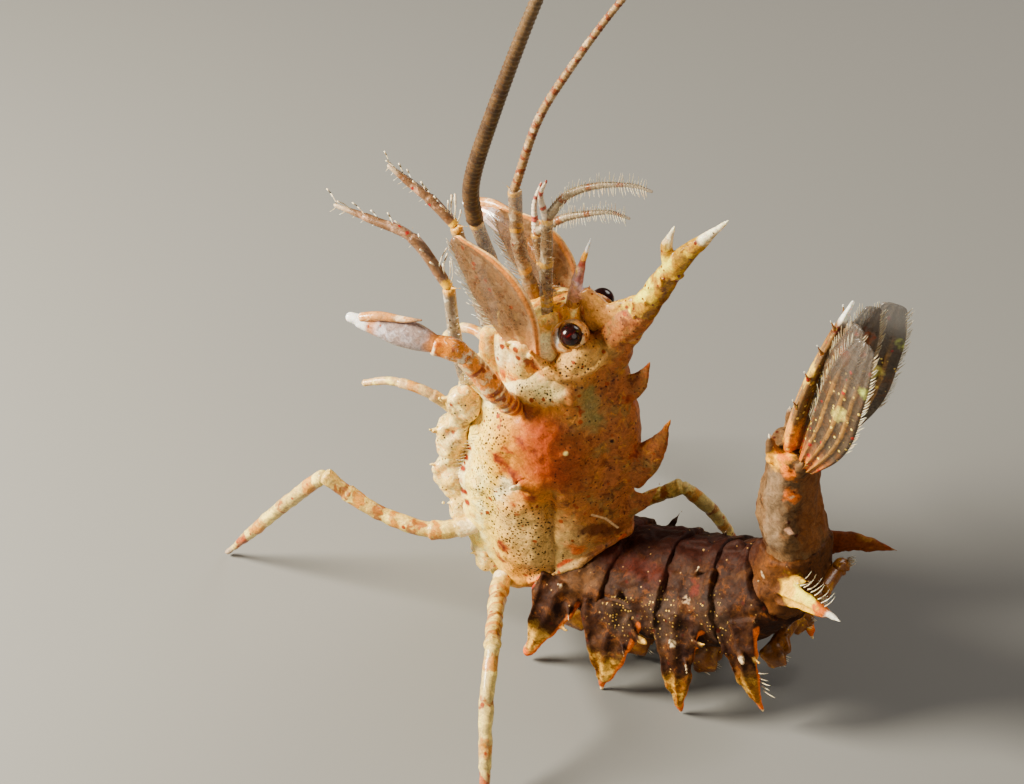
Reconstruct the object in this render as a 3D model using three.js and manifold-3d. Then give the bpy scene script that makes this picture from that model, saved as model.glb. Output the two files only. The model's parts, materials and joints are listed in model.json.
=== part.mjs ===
// Horned shrimp (Paracrangon echinata), life size, standing on a floor with its head reared up and
// its abdomen bent back over itself, so that the tail fan rises behind the head.
//
// Millimetres, +Z up. The animal's body lies in the plane y = 0: its belly faces -X, its back +X,
// its left side -Y and its right side +Y. The floor is z = 0.
//
// Every solid is a loft: a three.js cylinder whose rings are laid along a smooth path. Neighbours
// are parted by cutting one of them with the other grown by the clearance.

import * as THREE from 'three';
import { mergeVertices } from 'three/addons/utils/BufferGeometryUtils.js';
import Module from 'manifold-3d';

const wasm = await Module();
wasm.setup();

// ---- driving dimensions -------------------------------------------------------------------------

const CLEARANCE = 0.2; // between two neighbouring pieces
const EYE_RADIUS = 0.68;
const EYE_SPREAD = 1.9; // from the midline to the middle of an eye
const CARAPACE_HALF_WIDTH = 4.2;
const ABDOMEN_HALF_WIDTH = 3.9;
const LEG_RADIUS = 0.55; // of a walking leg at its root
const THINNEST = 0.25; // radius that no leg or feeler goes below

const LEFT = -1;
const RIGHT = 1;
const SIDES = [[LEFT, 'left'], [RIGHT, 'right']];

// The body's middle line, from the front of the carapace to the end of the sixth somite.
const CARAPACE_LINE = [[-4.0, 0, 5.3], [-4.9, 0, 9.0], [-5.3, 0, 12.6], [-5.1, 0, 16.0], [-4.9, 0, 19.2]];
const ABDOMEN_LINE = [
  [-3.4, 0, 5.2], [-0.6, 0, 4.9], [2.7, 0, 5.1], [6.2, 0, 5.9], [9.4, 0, 7.7],
  [10.8, 0, 10.7], [10.1, 0, 14.4], [10.2, 0, 18.6],
];

// ---- lofts --------------------------------------------------------------------------------------

const vector = ([x, y, z]) => new THREE.Vector3(x, y, z);

// A size along a loft is one radius, or [half width, height above, height below] of its middle line.
function triple(size) {
  const [wide, above, below] = Array.isArray(size) ? size : [size, size];
  return new THREE.Vector3(wide, above, below ?? above);
}

function smoothThrough(vectors) {
  return new THREE.CatmullRomCurve3(vectors, false, 'centripetal');
}

function toSolid(geometry) {
  geometry.deleteAttribute('normal');
  geometry.deleteAttribute('uv');
  const merged = mergeVertices(geometry, 1e-4);
  return new wasm.Manifold(new wasm.Mesh({
    numProp: 3,
    vertProperties: new Float32Array(merged.attributes.position.array),
    triVerts: new Uint32Array(merged.index.array),
  }));
}

// A closed solid along a smooth path. `across` is the direction of its half width, and `above` the
// direction of its height where that is not square to the path. `keel` raises the middle of its top,
// and `roof` is the share by which the top narrows towards it.
function loft(points, sizes, {
  sides = 8, steps = 8, across, above, keel = 0, roof = 0, grow = 0,
} = {}) {
  const path = smoothThrough(points.map(vector));
  const girth = sizes.length > 1 ? smoothThrough(sizes.map((size) => triple(size))) : null;
  const geometry = new THREE.CylinderGeometry(1, 1, 1, sides, steps);
  const place = geometry.attributes.position;
  const rings = [];
  let wide = across ? vector(across) : new THREE.Vector3(0.31, 0.87, 0.38);
  for (let ring = 0; ring <= steps; ring += 1) {
    const along = ring / steps;
    const ahead = path.getTangentAt(along);
    const side = (across ? vector(across) : wide).clone();
    side.addScaledVector(ahead, -side.dot(ahead)).normalize();
    wide = side;
    const up = above ? vector(above).normalize() : side.clone().cross(ahead);
    const middle = path.getPointAt(along);
    if (along === 0) middle.addScaledVector(ahead, -grow);
    if (along === 1) middle.addScaledVector(ahead, grow);
    const size = girth ? girth.getPoint(along) : triple(sizes[0]);
    rings.push({ middle, side, up, size });
  }
  for (let i = 0; i < place.count; i += 1) {
    const { middle, side, up, size } = rings[Math.round((place.getY(i) + 0.5) * steps)];
    const x = place.getX(i);
    const z = place.getZ(i);
    const radial = Math.hypot(x, z);
    const top = z > 0 ? size.y : size.z;
    const crest = keel * Math.max(0, z) ** 12;
    const narrow = 1 - roof * Math.max(0, z) ** 2;
    const point = middle.clone();
    point.addScaledVector(side, x * (size.x * narrow + grow));
    point.addScaledVector(up, z * (top + grow) + (radial > 0 ? crest : 0));
    place.setXYZ(i, point.x, point.y, point.z);
  }
  return toSolid(geometry);
}

// A straight tapering spine or tooth, from the middle of its root to its tip.
function spine(root, tip, radius, { grow = 0, across, thick = radius } = {}) {
  const sizes = [[radius, thick], [radius * 0.55, thick * 0.55], [0.12, 0.12]];
  const middle = vector(root).lerp(vector(tip), 0.5).toArray();
  return loft([root, middle, tip], sizes, { sides: 6, steps: 2, across, grow });
}

function ball([x, y, z], [a, b, c], { grow = 0, around = 8, rows = 6 } = {}) {
  const geometry = new THREE.SphereGeometry(1, around, rows);
  geometry.scale(a + grow, b + grow, c + grow);
  geometry.translate(x, y, z);
  return toSolid(geometry);
}

const joined = (solids) => solids.reduce((whole, solid) => whole.add(solid));
const mirrored = (points) => points.map(([x, y, z]) => [x, -y, z]);
const onSide = (side, points) => (side === LEFT ? points : mirrored(points));

// ---- head and carapace --------------------------------------------------------------------------

const BACK_OF_CARAPACE = [0.82, 0, 0.57]; // the way its sections rise towards the crest

// Hooked teeth of the crest: middle of the root, tip, half length and half thickness of the root.
const CREST_TEETH = [
  [[-1.0, 0, 18.1], [1.05, 0, 21.0], 1.05, 0.5],
  [[-0.35, 0, 12.6], [2.35, 0, 17.3], 1.35, 0.6],
  [[-0.5, 0, 10.3], [1.7, 0, 11.85], 1.3, 0.5],
];

// Spines of the flank, given for the left side: root, tip, radius.
const FLANK_SPINES = [
  [[-4.4, -3.7, 12.6], [-4.9, -5.6, 13.4], 0.5],
  [[-3.9, -2.6, 20.2], [-4.7, -3.6, 22.0], 0.42],
  [[-7.4, -3.2, 17.6], [-8.9, -4.3, 18.9], 0.4],
  [[-1.6, -2.4, 9.0], [-0.9, -3.8, 9.6], 0.4],
];

function carapace(grow = 0) {
  const half = CARAPACE_HALF_WIDTH;
  const shell = loft(CARAPACE_LINE, [
    [half * 0.84, 4.7, 4.5], [half * 0.97, 5.9, 5.4], [half, 6.5, 5.7], [half * 0.95, 5.5, 5.3],
    [half * 0.74, 4.0, 5.2],
  ], { sides: 22, steps: 9, across: [0, 1, 0], above: BACK_OF_CARAPACE, keel: 0.4, roof: 0.3, grow });
  const teeth = CREST_TEETH.map(([root, tip, long, thick]) => (
    spine(root, tip, thick, { thick: long, across: [0, 1, 0], grow })
  ));
  const spines = SIDES.flatMap(([side]) => FLANK_SPINES.map(([root, tip, radius]) => {
    const [from, to] = onSide(side, [root, tip]);
    return spine(from, to, radius, { grow });
  }));
  return joined([shell, ...teeth, ...spines]);
}

function rostrum(grow = 0) {
  const options = { across: [0, 1, 0], grow };
  const beam = loft([[-1.7, 0, 20.6], [-0.5, 0, 22.6], [1.0, 0, 25.4], [2.5, 0, 28.3], [3.7, 0, 29.9], [5.3, 0, 31.9]],
    [[0.95, 1.25], [0.75, 1.05], [0.6, 0.85], [0.5, 0.75], [0.3, 0.45], [0.12, 0.12]],
    { ...options, sides: 8, steps: 9 });
  const hook = loft([[2.2, 0, 27.4], [1.75, 0, 28.9], [2.15, 0, 30.5]], [[0.45, 0.6], [0.28, 0.4], 0.12],
    { ...options, sides: 6, steps: 3 });
  const plate = loft([[-1.0, 0, 22.3], [-2.3, 0, 23.3], [-3.2, 0, 24.3]], [[0.32, 1.2], [0.3, 1.0], [0.3, 0.55]],
    { ...options, sides: 6, steps: 2 });
  const horn = spine([-3.3, 0, 24.0], [-2.85, 0, 28.0], 0.42, options);
  return joined([beam, hook, plate, horn]);
}

// The block in front of the carapace that the eyes, feelers and mouth legs grow from.
function headBase(grow = 0) {
  return loft([[-5.4, 0, 18.4], [-5.8, 0, 20.4], [-6.0, 0, 21.9]],
    [[2.9, 3.2, 3.4], [2.8, 3.0, 3.2], [2.1, 2.2, 2.3]],
    { sides: 12, steps: 3, across: [0, 1, 0], above: BACK_OF_CARAPACE, grow });
}

const eyePlace = (side) => [-3.0, side * EYE_SPREAD, 22.6];

function eye(side, grow = 0) {
  const radius = EYE_RADIUS;
  return ball(eyePlace(side), [radius, radius, radius], { around: 10, rows: 6, grow });
}

function eyestalk(side, grow = 0) {
  const [x, y, z] = eyePlace(side);
  return loft([[x - 1.2, y - side * 1.3, z - 1.9], [x - 0.5, y - side * 0.6, z - 0.8], [x - 0.08, y - side * 0.12, z - 0.1]],
    [0.75, 0.95, 0.72], { sides: 8, steps: 4, grow });
}

// ---- feelers ------------------------------------------------------------------------------------

const ANTENNULES = {
  left: {
    peduncle: [[-4.9, -0.8, 20.8], [-5.1, -0.95, 24.8], [-5.1, -0.85, 29.2]],
    outer: [[-4.9, -0.85, 29.7], [-3.9, -0.8, 31.0], [-2.2, -0.7, 32.1], [-0.2, -0.6, 32.7], [1.0, -0.6, 32.7]],
    inner: [[-5.3, -1.05, 29.6], [-5.3, -1.3, 30.8], [-4.8, -1.6, 32.1]],
  },
  right: {
    peduncle: [[-5.2, 0.75, 20.8], [-6.1, 0.85, 24.0], [-6.7, 0.85, 26.6]],
    outer: [[-6.5, 0.85, 27.1], [-5.0, 0.9, 28.1], [-3.6, 1.0, 28.8], [-2.3, 1.2, 29.2], [-1.2, 1.3, 29.1]],
    inner: [[-6.9, 0.95, 27.0], [-7.0, 1.2, 28.2], [-6.7, 1.4, 29.6]],
  },
};

const ANTENNAE = {
  left: {
    peduncle: [[-6.6, -1.8, 20.0], [-7.7, -1.8, 24.6], [-8.8, -2.3, 28.6]],
    flagellum: [[-8.9, -2.5, 29.2], [-8.4, -3.4, 31.9], [-6.0, -5.4, 38.0], [-2.2, -7.8, 47.0], [0.6, -9.2, 52.6]],
  },
  right: {
    peduncle: [[-6.9, 1.8, 20.0], [-8.4, 2.0, 24.4], [-8.8, 2.2, 28.0]],
    flagellum: [[-8.7, 2.15, 28.6], [-7.3, 2.0, 33.0], [-5.5, 2.0, 36.7], [-2.4, 2.1, 42.0], [1.6, 2.4, 47.6]],
  },
};

// An antennal scale is a leaf-like plate: its middle line, and the direction across the leaf.
const SCALES = {
  left: { line: [[-5.2, -2.7, 20.9], [-6.9, -3.0, 24.7], [-9.6, -3.0, 27.4]], across: [0.8, 0, 0.6] },
  right: { line: [[-5.4, 2.6, 20.6], [-7.6, 3.2, 23.2], [-10.4, 3.4, 25.1]], across: [0.7, 0.3, 0.6] },
};

function peduncle(points, grow = 0) {
  return loft(points, [0.62, 0.52, 0.58, 0.4], { sides: 7, steps: 4, grow });
}

function flagellum(points, radius, steps, grow = 0) {
  return loft(points, [radius, radius * 0.85, THINNEST], { sides: 5, steps, grow });
}

function antennalScale({ line, across }, grow = 0) {
  const sizes = [[0.8, 0.35], [1.5, 0.3], [1.7, 0.28], [1.35, 0.27], [0.5, 0.25]];
  return loft(line, sizes, { sides: 8, steps: 5, across, grow });
}

// ---- mouth legs and claws -----------------------------------------------------------------------

// Third maxillipeds: two leg-like feelers in front of the mouth, each bent at one joint.
const MAXILLIPEDS = {
  left: {
    lower: [[-9.3, -2.6, 17.4], [-9.8, -3.0, 20.8], [-10.1, -3.1, 24.1]],
    upper: [[-10.2, -3.1, 24.6], [-12.3, -3.1, 26.7], [-14.8, -3.2, 27.2], [-17.3, -3.3, 27.5]],
  },
  right: {
    lower: [[-10.3, 2.2, 17.0], [-11.3, 1.7, 21.2], [-12.3, 1.6, 24.7]],
    upper: [[-12.6, 1.6, 25.2], [-13.9, 1.6, 26.0], [-15.2, 1.6, 26.7], [-16.7, 1.6, 27.5]],
  },
};

// Claw legs, given for the left side. The right one is the same arm, held a little closer in.
const CLAW = {
  merus: [[-5.6, -3.4, 17.4], [-6.1, -4.5, 18.9], [-7.0, -5.0, 20.5], [-7.7, -5.5, 21.7]],
  carpus: [[-7.8, -5.6, 22.1], [-8.3, -5.9, 22.4], [-8.8, -6.2, 22.6]],
  palm: [[-9.1, -6.3, 22.65], [-10.5, -6.6, 23.0], [-12.0, -6.9, 23.2], [-13.4, -7.2, 23.3]],
  finger: [[-10.0, -6.6, 23.95], [-11.0, -6.8, 24.25], [-12.3, -7.05, 24.1]],
};

const heldOn = (side, points) => (side === LEFT ? points
  : points.map(([x, y, z]) => [x - 0.5, -y * 0.95, z - 0.8]));

const merus = (side, grow = 0) => loft(heldOn(side, CLAW.merus), [0.5, 0.62, 0.7, 0.55],
  { sides: 8, steps: 4, grow });
const carpus = (side, grow = 0) => loft(heldOn(side, CLAW.carpus), [0.45, 0.66, 0.5],
  { sides: 8, steps: 2, grow });
const palm = (side, grow = 0) => loft(heldOn(side, CLAW.palm),
  [[0.5, 0.4], [0.95, 0.62], [0.85, 0.55], [0.45, 0.38]],
  { sides: 8, steps: 6, across: [0.1, 0.5, 0.86], grow });
const finger = (side, grow = 0) => loft(heldOn(side, CLAW.finger), [0.28, 0.3, 0.25],
  { sides: 5, steps: 3, grow });

// ---- walking legs -------------------------------------------------------------------------------

// Each walking leg is an upper length from the body to the knee, and a lower one to its foot.
const LEGS = {
  leg_3_left: [[[-9.8, -3.0, 15.4], [-11.2, -3.8, 16.8], [-13.4, -4.1, 17.0], [-15.2, -4.4, 16.4]]],
  leg_3_right: [[[-10.4, 2.9, 14.0], [-11.8, 3.8, 15.6], [-13.7, 4.2, 15.3], [-15.2, 4.4, 13.6]]],
  leg_4_left: [
    [[-8.0, -3.4, 7.9], [-10.4, -4.6, 7.3], [-13.0, -5.1, 7.5], [-15.0, -5.4, 8.2], [-17.3, -5.8, 9.7]],
    [[-17.9, -5.8, 9.7], [-20.1, -5.9, 6.4], [-22.6, -5.8, 3.2], [-25.0, -5.6, -0.15]],
  ],
  leg_5_left: [
    [[-6.6, -3.2, 4.4], [-5.8, -5.4, 4.5], [-4.4, -8.3, 5.5], [-3.1, -10.9, 6.4]],
    [[-2.9, -11.5, 6.4], [-2.1, -13.4, 4.6], [-1.1, -15.4, 2.2], [-0.2, -17.3, -0.15]],
  ],
  leg_4_right: [
    [[-8.0, 3.4, 8.4], [-9.0, 5.4, 7.8], [-10.2, 7.6, 7.8], [-11.4, 9.6, 8.6]],
    [[-11.8, 10.0, 8.3], [-12.6, 10.9, 5.6], [-13.2, 12.2, 2.8], [-13.8, 13.4, -0.15]],
  ],
  leg_5_right: [
    [[-6.2, 3.2, 4.3], [-4.6, 4.6, 4.2], [-2.2, 6.0, 5.0], [0.1, 7.1, 6.3]],
    [[0.7, 7.3, 6.1], [1.6, 8.2, 4.3], [2.3, 9.2, 2.2], [2.9, 10.1, -0.15]],
  ],
};

const upperLeg = (points, grow = 0) => loft(points,
  [LEG_RADIUS * 1.1, LEG_RADIUS, LEG_RADIUS * 0.85, LEG_RADIUS * 0.9], { sides: 6, steps: 7, grow });
const lowerLeg = (points, grow = 0) => loft(points,
  [LEG_RADIUS * 0.8, LEG_RADIUS * 0.72, LEG_RADIUS * 0.66, 0.3], { sides: 6, steps: 6, grow });
const slenderLeg = (points, grow = 0) => loft(points, [0.36, 0.32, THINNEST],
  { sides: 5, steps: 7, grow });

// Hip joints of the five pairs of legs, front to rear: x and z.
const HIPS = [[-9.3, 16.2], [-10.0, 13.6], [-10.2, 11.0], [-9.2, 8.4], [-7.6, 5.2]];

// What lies between the legs: the breast plate with five pairs of hip joints.
function breast(grow = 0) {
  const plate = loft([[-6.6, 0, 3.4], [-8.7, 0, 7.0], [-10.0, 0, 11.8], [-9.6, 0, 16.6]],
    [[2.0, 1.0], [2.5, 1.2], [2.6, 1.3], [2.0, 1.0]], { sides: 8, steps: 4, across: [0, 1, 0], grow });
  const hips = SIDES.flatMap(([side]) => HIPS.map(([x, z]) => (
    ball([x, side * 2.7, z], [1.15, 0.95, 1.35], { around: 6, rows: 3, grow })
  )));
  return joined([plate, ...hips]);
}

// ---- abdomen ------------------------------------------------------------------------------------

const abdomenPath = smoothThrough(ABDOMEN_LINE.map(vector));

// Where each somite starts and ends along the abdomen, as a share of its length.
const SOMITE_ENDS = [0, 0.135, 0.29, 0.44, 0.58, 0.715, 1];

// Half width, height above and height below at each of those ends.
const SOMITE_SIZES = [
  [3.5, 2.7, 2.2], [3.8, 2.6, 2.3], [ABDOMEN_HALF_WIDTH, 3.0, 2.3], [3.6, 2.9, 2.3], [3.0, 2.4, 2.0],
  [2.2, 1.95, 1.5], [1.65, 1.4, 1.25],
];

// Side flaps of the first five somites, for the left side: root, middle, tip and half length.
const FLAPS = [
  { line: [[-2.5, -3.4, 5.6], [-3.1, -4.6, 3.2], [-4.1, -5.0, 0.3]], wide: 1.45 },
  { line: [[0.9, -3.6, 5.6], [1.2, -4.9, 3.0], [1.05, -5.1, -0.15]], wide: 1.9 },
  { line: [[4.9, -3.5, 6.2], [5.7, -4.8, 3.2], [6.0, -4.7, -0.15]], wide: 1.75 },
  { line: [[8.4, -3.1, 7.2], [9.6, -3.9, 4.4], [10.7, -3.5, 1.4]], wide: 1.5 },
  { line: [[10.9, -2.4, 10.0], [12.8, -3.3, 10.6], [15.1, -3.9, 10.6]], wide: 1.25 },
];

// Small upright spines on the flank of a somite, for the left side: root and tip.
const FLAP_SPINES = [
  [[-1.8, -4.0, 4.6], [-1.3, -5.0, 4.4]], [[1.9, -4.5, 4.0], [2.6, -5.5, 3.7]],
  [[6.0, -4.4, 4.4], [6.6, -5.4, 4.2]], [[9.1, -3.7, 5.8], [9.7, -4.7, 5.7]],
  [[12.1, -2.9, 12.0], [13.0, -3.6, 12.5]],
];

function somite(index, grow = 0) {
  const [from, to] = [SOMITE_ENDS[index], SOMITE_ENDS[index + 1]];
  const spare = 0.012;
  const line = [from + spare, (from + to) / 2, to].map((u) => abdomenPath.getPointAt(u).toArray());
  const [start, end] = [SOMITE_SIZES[index], SOMITE_SIZES[index + 1]];
  const swell = index < 5 ? 1.04 : 1.02;
  const middle = start.map((size, i) => swell * (size + end[i]) / 2);
  const ring = loft(line, [start, middle, end],
    { sides: 12, steps: 3, across: [0, -1, 0], keel: index < 4 ? 0.35 : 0.2, grow });
  if (index === 5) return ring;
  const flaps = SIDES.flatMap(([side]) => {
    const { line: edge, wide } = FLAPS[index];
    const along = abdomenPath.getTangentAt((from + to) / 2).toArray();
    const flap = loft(onSide(side, edge), [[wide, 0.42], [wide * 0.72, 0.42], [0.22, 0.22]],
      { sides: 6, steps: 4, across: along, grow });
    const [root, tip] = onSide(side, FLAP_SPINES[index]);
    return [flap, spine(root, tip, 0.3, { grow })];
  });
  return joined([ring, ...flaps]);
}

// The swimming paddles of each somite: how far below its middle they start, and how far they reach.
const PADDLES = [[2.9, 0.75], [2.95, 0.9], [2.95, 0.95], [2.8, 0.7], [2.45, 0.3]];

// A pair of swimming paddles, folded forwards: two leaves that hang from a bar under the somite.
function paddles(index, grow = 0) {
  const share = (SOMITE_ENDS[index] + SOMITE_ENDS[index + 1]) / 2;
  const middle = abdomenPath.getPointAt(share);
  const ahead = abdomenPath.getTangentAt(share);
  const down = new THREE.Vector3(ahead.z, 0, -ahead.x);
  const [low, reach] = PADDLES[index];
  const at = (y, below, along) => middle.clone().addScaledVector(down, below)
    .addScaledVector(ahead, along).add(new THREE.Vector3(0, y, 0)).toArray();
  const bar = loft([at(-1.7, low, 0), at(0, low, 0), at(1.7, low, 0)], [0.42],
    { sides: 4, steps: 2, across: [0, 0.2, 1], grow });
  const leaves = SIDES.map(([side]) => loft(
    [at(side * 1.6, low - 0.1, 0), at(side * 1.9, low + 0.7 * reach, -0.5 * reach), at(side * 1.9, low + 1.5 * reach, -1.2 * reach)],
    [[0.4, 0.35], [0.85, 0.3], [0.3, 0.25]], { sides: 5, steps: 3, across: ahead.toArray(), grow }));
  return joined([bar, ...leaves]);
}

// ---- tail fan -----------------------------------------------------------------------------------

const TAIL_ACROSS = [0, 1, 0];
const TELSON = [[10.0, 0, 18.9], [10.5, 0, 22.0], [11.4, 0, 25.4], [12.6, 0, 29.1]];
const OUTER_BLADE = [[11.4, -1.5, 18.6], [12.7, -1.9, 21.6], [13.4, -2.1, 24.8], [14.2, -2.0, 28.0]];
const INNER_BLADE = [[11.0, -0.8, 18.8], [11.9, -1.0, 22.0], [12.6, -1.1, 25.2], [13.4, -1.0, 28.2]];

const telson = (grow = 0) => loft(TELSON, [[1.3, 0.5], [1.3, 0.42], [0.95, 0.34], [0.2, 0.22]],
  { sides: 8, steps: 5, across: TAIL_ACROSS, grow });
const outerBlade = (side, grow = 0) => loft(onSide(side, OUTER_BLADE),
  [[0.5, 0.35], [1.15, 0.3], [1.4, 0.28], [0.7, 0.25]],
  { sides: 8, steps: 5, across: [0.95, side * 0.3, 0], grow });
const innerBlade = (side, grow = 0) => loft(onSide(side, INNER_BLADE),
  [[0.45, 0.32], [0.95, 0.28], [1.05, 0.27], [0.5, 0.25]],
  { sides: 8, steps: 5, across: [0.9, side * 0.43, 0], grow });

// ---- the list of pieces -------------------------------------------------------------------------

const COLOURS = {
  shell: ['#c98d62', 0.38], rostrum: ['#d3a55c', 0.35], eye: ['#1d0c0c', 0.08], stalk: ['#c9a27c', 0.3],
  leg: ['#d9b08a', 0.42], feeler: ['#a9714a', 0.45], claw: ['#d8c2b6', 0.28], arm: ['#c05f32', 0.38],
  belly: ['#dcc6a8', 0.4], flap: ['#9a6238', 0.36], fan: ['#b98e63', 0.32], paddle: ['#8a5836', 0.45],
};

// name: how the piece is made (given how much it is grown by), its colour, and what cuts it.
const pieces = {
  carapace: { make: carapace, colour: 'shell', cutBy: [] },
  rostrum: { make: rostrum, colour: 'rostrum', cutBy: ['carapace'] },
  head_base: { make: headBase, colour: 'shell', cutBy: ['carapace', 'rostrum'] },
  breast: { make: breast, colour: 'belly', cutBy: ['carapace', 'head_base'] },
};

for (const [side, word] of SIDES) {
  const add = (name, make, colour, cutBy) => {
    pieces[`${name}_${word}`] = { make, colour, cutBy };
  };
  add('eye', (grow) => eye(side, grow), 'eye', ['carapace', 'rostrum', 'head_base']);
  add('eyestalk', (grow) => eyestalk(side, grow), 'stalk',
    ['carapace', 'rostrum', 'head_base', `eye_${word}`]);

  const { peduncle: stem, outer, inner } = ANTENNULES[word];
  add('antennule_peduncle', (grow) => peduncle(stem, grow), 'feeler',
    ['head_base', 'rostrum', 'eyestalk_left', 'eyestalk_right']);
  add('antennule_outer', (grow) => flagellum(outer, 0.3, 7, grow), 'feeler', [`antennule_peduncle_${word}`]);
  add('antennule_inner', (grow) => flagellum(inner, 0.28, 4, grow), 'feeler',
    [`antennule_peduncle_${word}`, `antennule_outer_${word}`]);

  const { peduncle: base, flagellum: whip } = ANTENNAE[word];
  add('antenna_peduncle', (grow) => peduncle(base, grow), 'feeler',
    ['head_base', `antennule_peduncle_${word}`]);
  add('antenna_flagellum', (grow) => flagellum(whip, side === LEFT ? 0.46 : 0.32, 12, grow), 'feeler',
    [`antenna_peduncle_${word}`]);
  add('antennal_scale', (grow) => antennalScale(SCALES[word], grow), 'feeler',
    ['carapace', 'head_base', `antenna_peduncle_${word}`, `antennule_peduncle_${word}`, `eyestalk_${word}`]);

  const { lower, upper } = MAXILLIPEDS[word];
  add('maxilliped_lower', (grow) => loft(lower, [0.5, 0.48, 0.4], { sides: 7, steps: 3, grow }), 'leg',
    ['carapace', 'head_base', 'breast', `antennal_scale_${word}`, `antenna_peduncle_${word}`]);
  add('maxilliped_upper', (grow) => loft(upper, [0.42, 0.4, 0.33, THINNEST], { sides: 6, steps: 6, grow }),
    'leg', [`maxilliped_lower_${word}`, `antennal_scale_${word}`]);

  add('claw_merus', (grow) => merus(side, grow), 'arm', ['carapace']);
  add('claw_carpus', (grow) => carpus(side, grow), 'arm', [`claw_merus_${word}`]);
  add('claw_palm', (grow) => palm(side, grow), 'claw', [`claw_carpus_${word}`]);
  add('claw_finger', (grow) => finger(side, grow), 'claw', [`claw_palm_${word}`]);

  const body = ['carapace', 'breast', 'somite_1'];
  add('leg_3', (grow) => slenderLeg(LEGS[`leg_3_${word}`][0], grow), 'leg', ['carapace', 'breast']);
  for (const leg of ['leg_4', 'leg_5']) {
    const [above, below] = LEGS[`${leg}_${word}`];
    add(`${leg}_upper`, (grow) => upperLeg(above, grow), 'leg', body);
    add(`${leg}_lower`, (grow) => lowerLeg(below, grow), 'leg', [`${leg}_upper_${word}`]);
  }

  add('uropod_outer', (grow) => outerBlade(side, grow), 'fan',
    ['somite_6', 'telson', `uropod_inner_${word}`]);
}

for (let index = 0; index < 6; index += 1) {
  const cutBy = index === 0 ? ['carapace', 'breast'] : [`somite_${index}`];
  pieces[`somite_${index + 1}`] = { make: (grow) => somite(index, grow), colour: 'flap', cutBy };
  if (index < 5) {
    pieces[`pleopods_${index + 1}`] = {
      make: (grow) => paddles(index, grow),
      colour: 'paddle',
      cutBy: [index - 1, index, index + 1].filter((i) => i >= 0).map((i) => `somite_${i + 1}`),
    };
  }
}

pieces.telson = { make: telson, colour: 'fan', cutBy: ['somite_6'] };
for (const [side, word] of SIDES) {
  pieces[`uropod_inner_${word}`] = {
    make: (grow) => innerBlade(side, grow),
    colour: 'fan',
    cutBy: ['somite_6', 'telson'],
  };
}

// ---- cutting and assembly -----------------------------------------------------------------------

const grown = {};
function cutter(name) {
  grown[name] ??= pieces[name].make(CLEARANCE);
  return grown[name];
}

const floor = toSolid(new THREE.BoxGeometry(80, 60, 10).translate(0, 0, -5));

function largest(solid) {
  return solid.decompose().reduce((best, part) => (part.volume() > best.volume() ? part : best));
}

function toMesh(name, solid, [colour, roughness]) {
  const { vertProperties, triVerts } = solid.getMesh();
  const geometry = new THREE.BufferGeometry();
  geometry.setAttribute('position', new THREE.BufferAttribute(new Float32Array(vertProperties), 3));
  geometry.setIndex(new THREE.BufferAttribute(new Uint32Array(triVerts), 1));
  geometry.computeVertexNormals();
  const material = new THREE.MeshStandardMaterial({ color: colour, roughness, metalness: 0 });
  const mesh = new THREE.Mesh(geometry, material);
  mesh.name = name;
  return mesh;
}

const shrimp = new THREE.Group();
shrimp.name = 'shrimp';
for (const [name, { make, colour, cutBy }] of Object.entries(pieces)) {
  let solid = make(0);
  for (const other of cutBy) solid = solid.subtract(cutter(other));
  solid = largest(solid.subtract(floor));
  shrimp.add(toMesh(name, solid, COLOURS[colour]));
}

// The origin is the middle of the whole animal's box, on the floor.
const middle = new THREE.Box3().setFromObject(shrimp).getCenter(new THREE.Vector3());
shrimp.position.set(-middle.x, -middle.y, 0);
shrimp.updateMatrixWorld(true);

export default shrimp;
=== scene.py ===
# %% [markdown]
# A horned shrimp, life size
# This notebook dresses the CAD model of a horned shrimp. The animal is about 54 mm long when it is
# stretched out. It stands with its head reared up and its abdomen bent back over itself. We first
# load the solids, which fix every size and place, and then model each shell plate over its solid.

import json
import math
import random

import bmesh
import bpy
import numpy as np
from mathutils import Matrix, Vector, noise

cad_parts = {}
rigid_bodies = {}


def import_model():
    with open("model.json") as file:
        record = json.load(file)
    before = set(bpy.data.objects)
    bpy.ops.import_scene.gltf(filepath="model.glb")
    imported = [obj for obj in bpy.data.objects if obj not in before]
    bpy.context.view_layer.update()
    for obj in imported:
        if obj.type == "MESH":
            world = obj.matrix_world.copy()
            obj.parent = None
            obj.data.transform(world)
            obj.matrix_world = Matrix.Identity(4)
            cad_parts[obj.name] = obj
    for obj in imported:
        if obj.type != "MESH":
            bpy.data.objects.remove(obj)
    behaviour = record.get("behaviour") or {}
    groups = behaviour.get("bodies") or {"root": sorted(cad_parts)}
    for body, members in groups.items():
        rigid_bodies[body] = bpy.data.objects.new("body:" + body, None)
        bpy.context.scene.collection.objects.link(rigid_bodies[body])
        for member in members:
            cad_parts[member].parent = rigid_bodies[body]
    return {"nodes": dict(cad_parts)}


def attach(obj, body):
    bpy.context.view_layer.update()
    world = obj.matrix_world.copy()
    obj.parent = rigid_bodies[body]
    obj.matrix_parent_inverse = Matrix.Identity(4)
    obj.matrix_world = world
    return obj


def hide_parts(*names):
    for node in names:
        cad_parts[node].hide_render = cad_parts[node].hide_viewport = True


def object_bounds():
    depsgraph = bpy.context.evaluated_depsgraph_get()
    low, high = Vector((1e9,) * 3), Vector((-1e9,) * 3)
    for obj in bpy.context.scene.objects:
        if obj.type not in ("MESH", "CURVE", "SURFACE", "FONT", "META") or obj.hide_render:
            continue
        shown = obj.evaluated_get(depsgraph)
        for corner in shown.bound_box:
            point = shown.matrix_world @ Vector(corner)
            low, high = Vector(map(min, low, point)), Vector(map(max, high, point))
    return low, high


for left_over in list(bpy.data.objects):
    bpy.data.objects.remove(left_over)
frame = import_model()
solids_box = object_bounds()
print("nodes in the frame:", len(frame["nodes"]))

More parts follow.
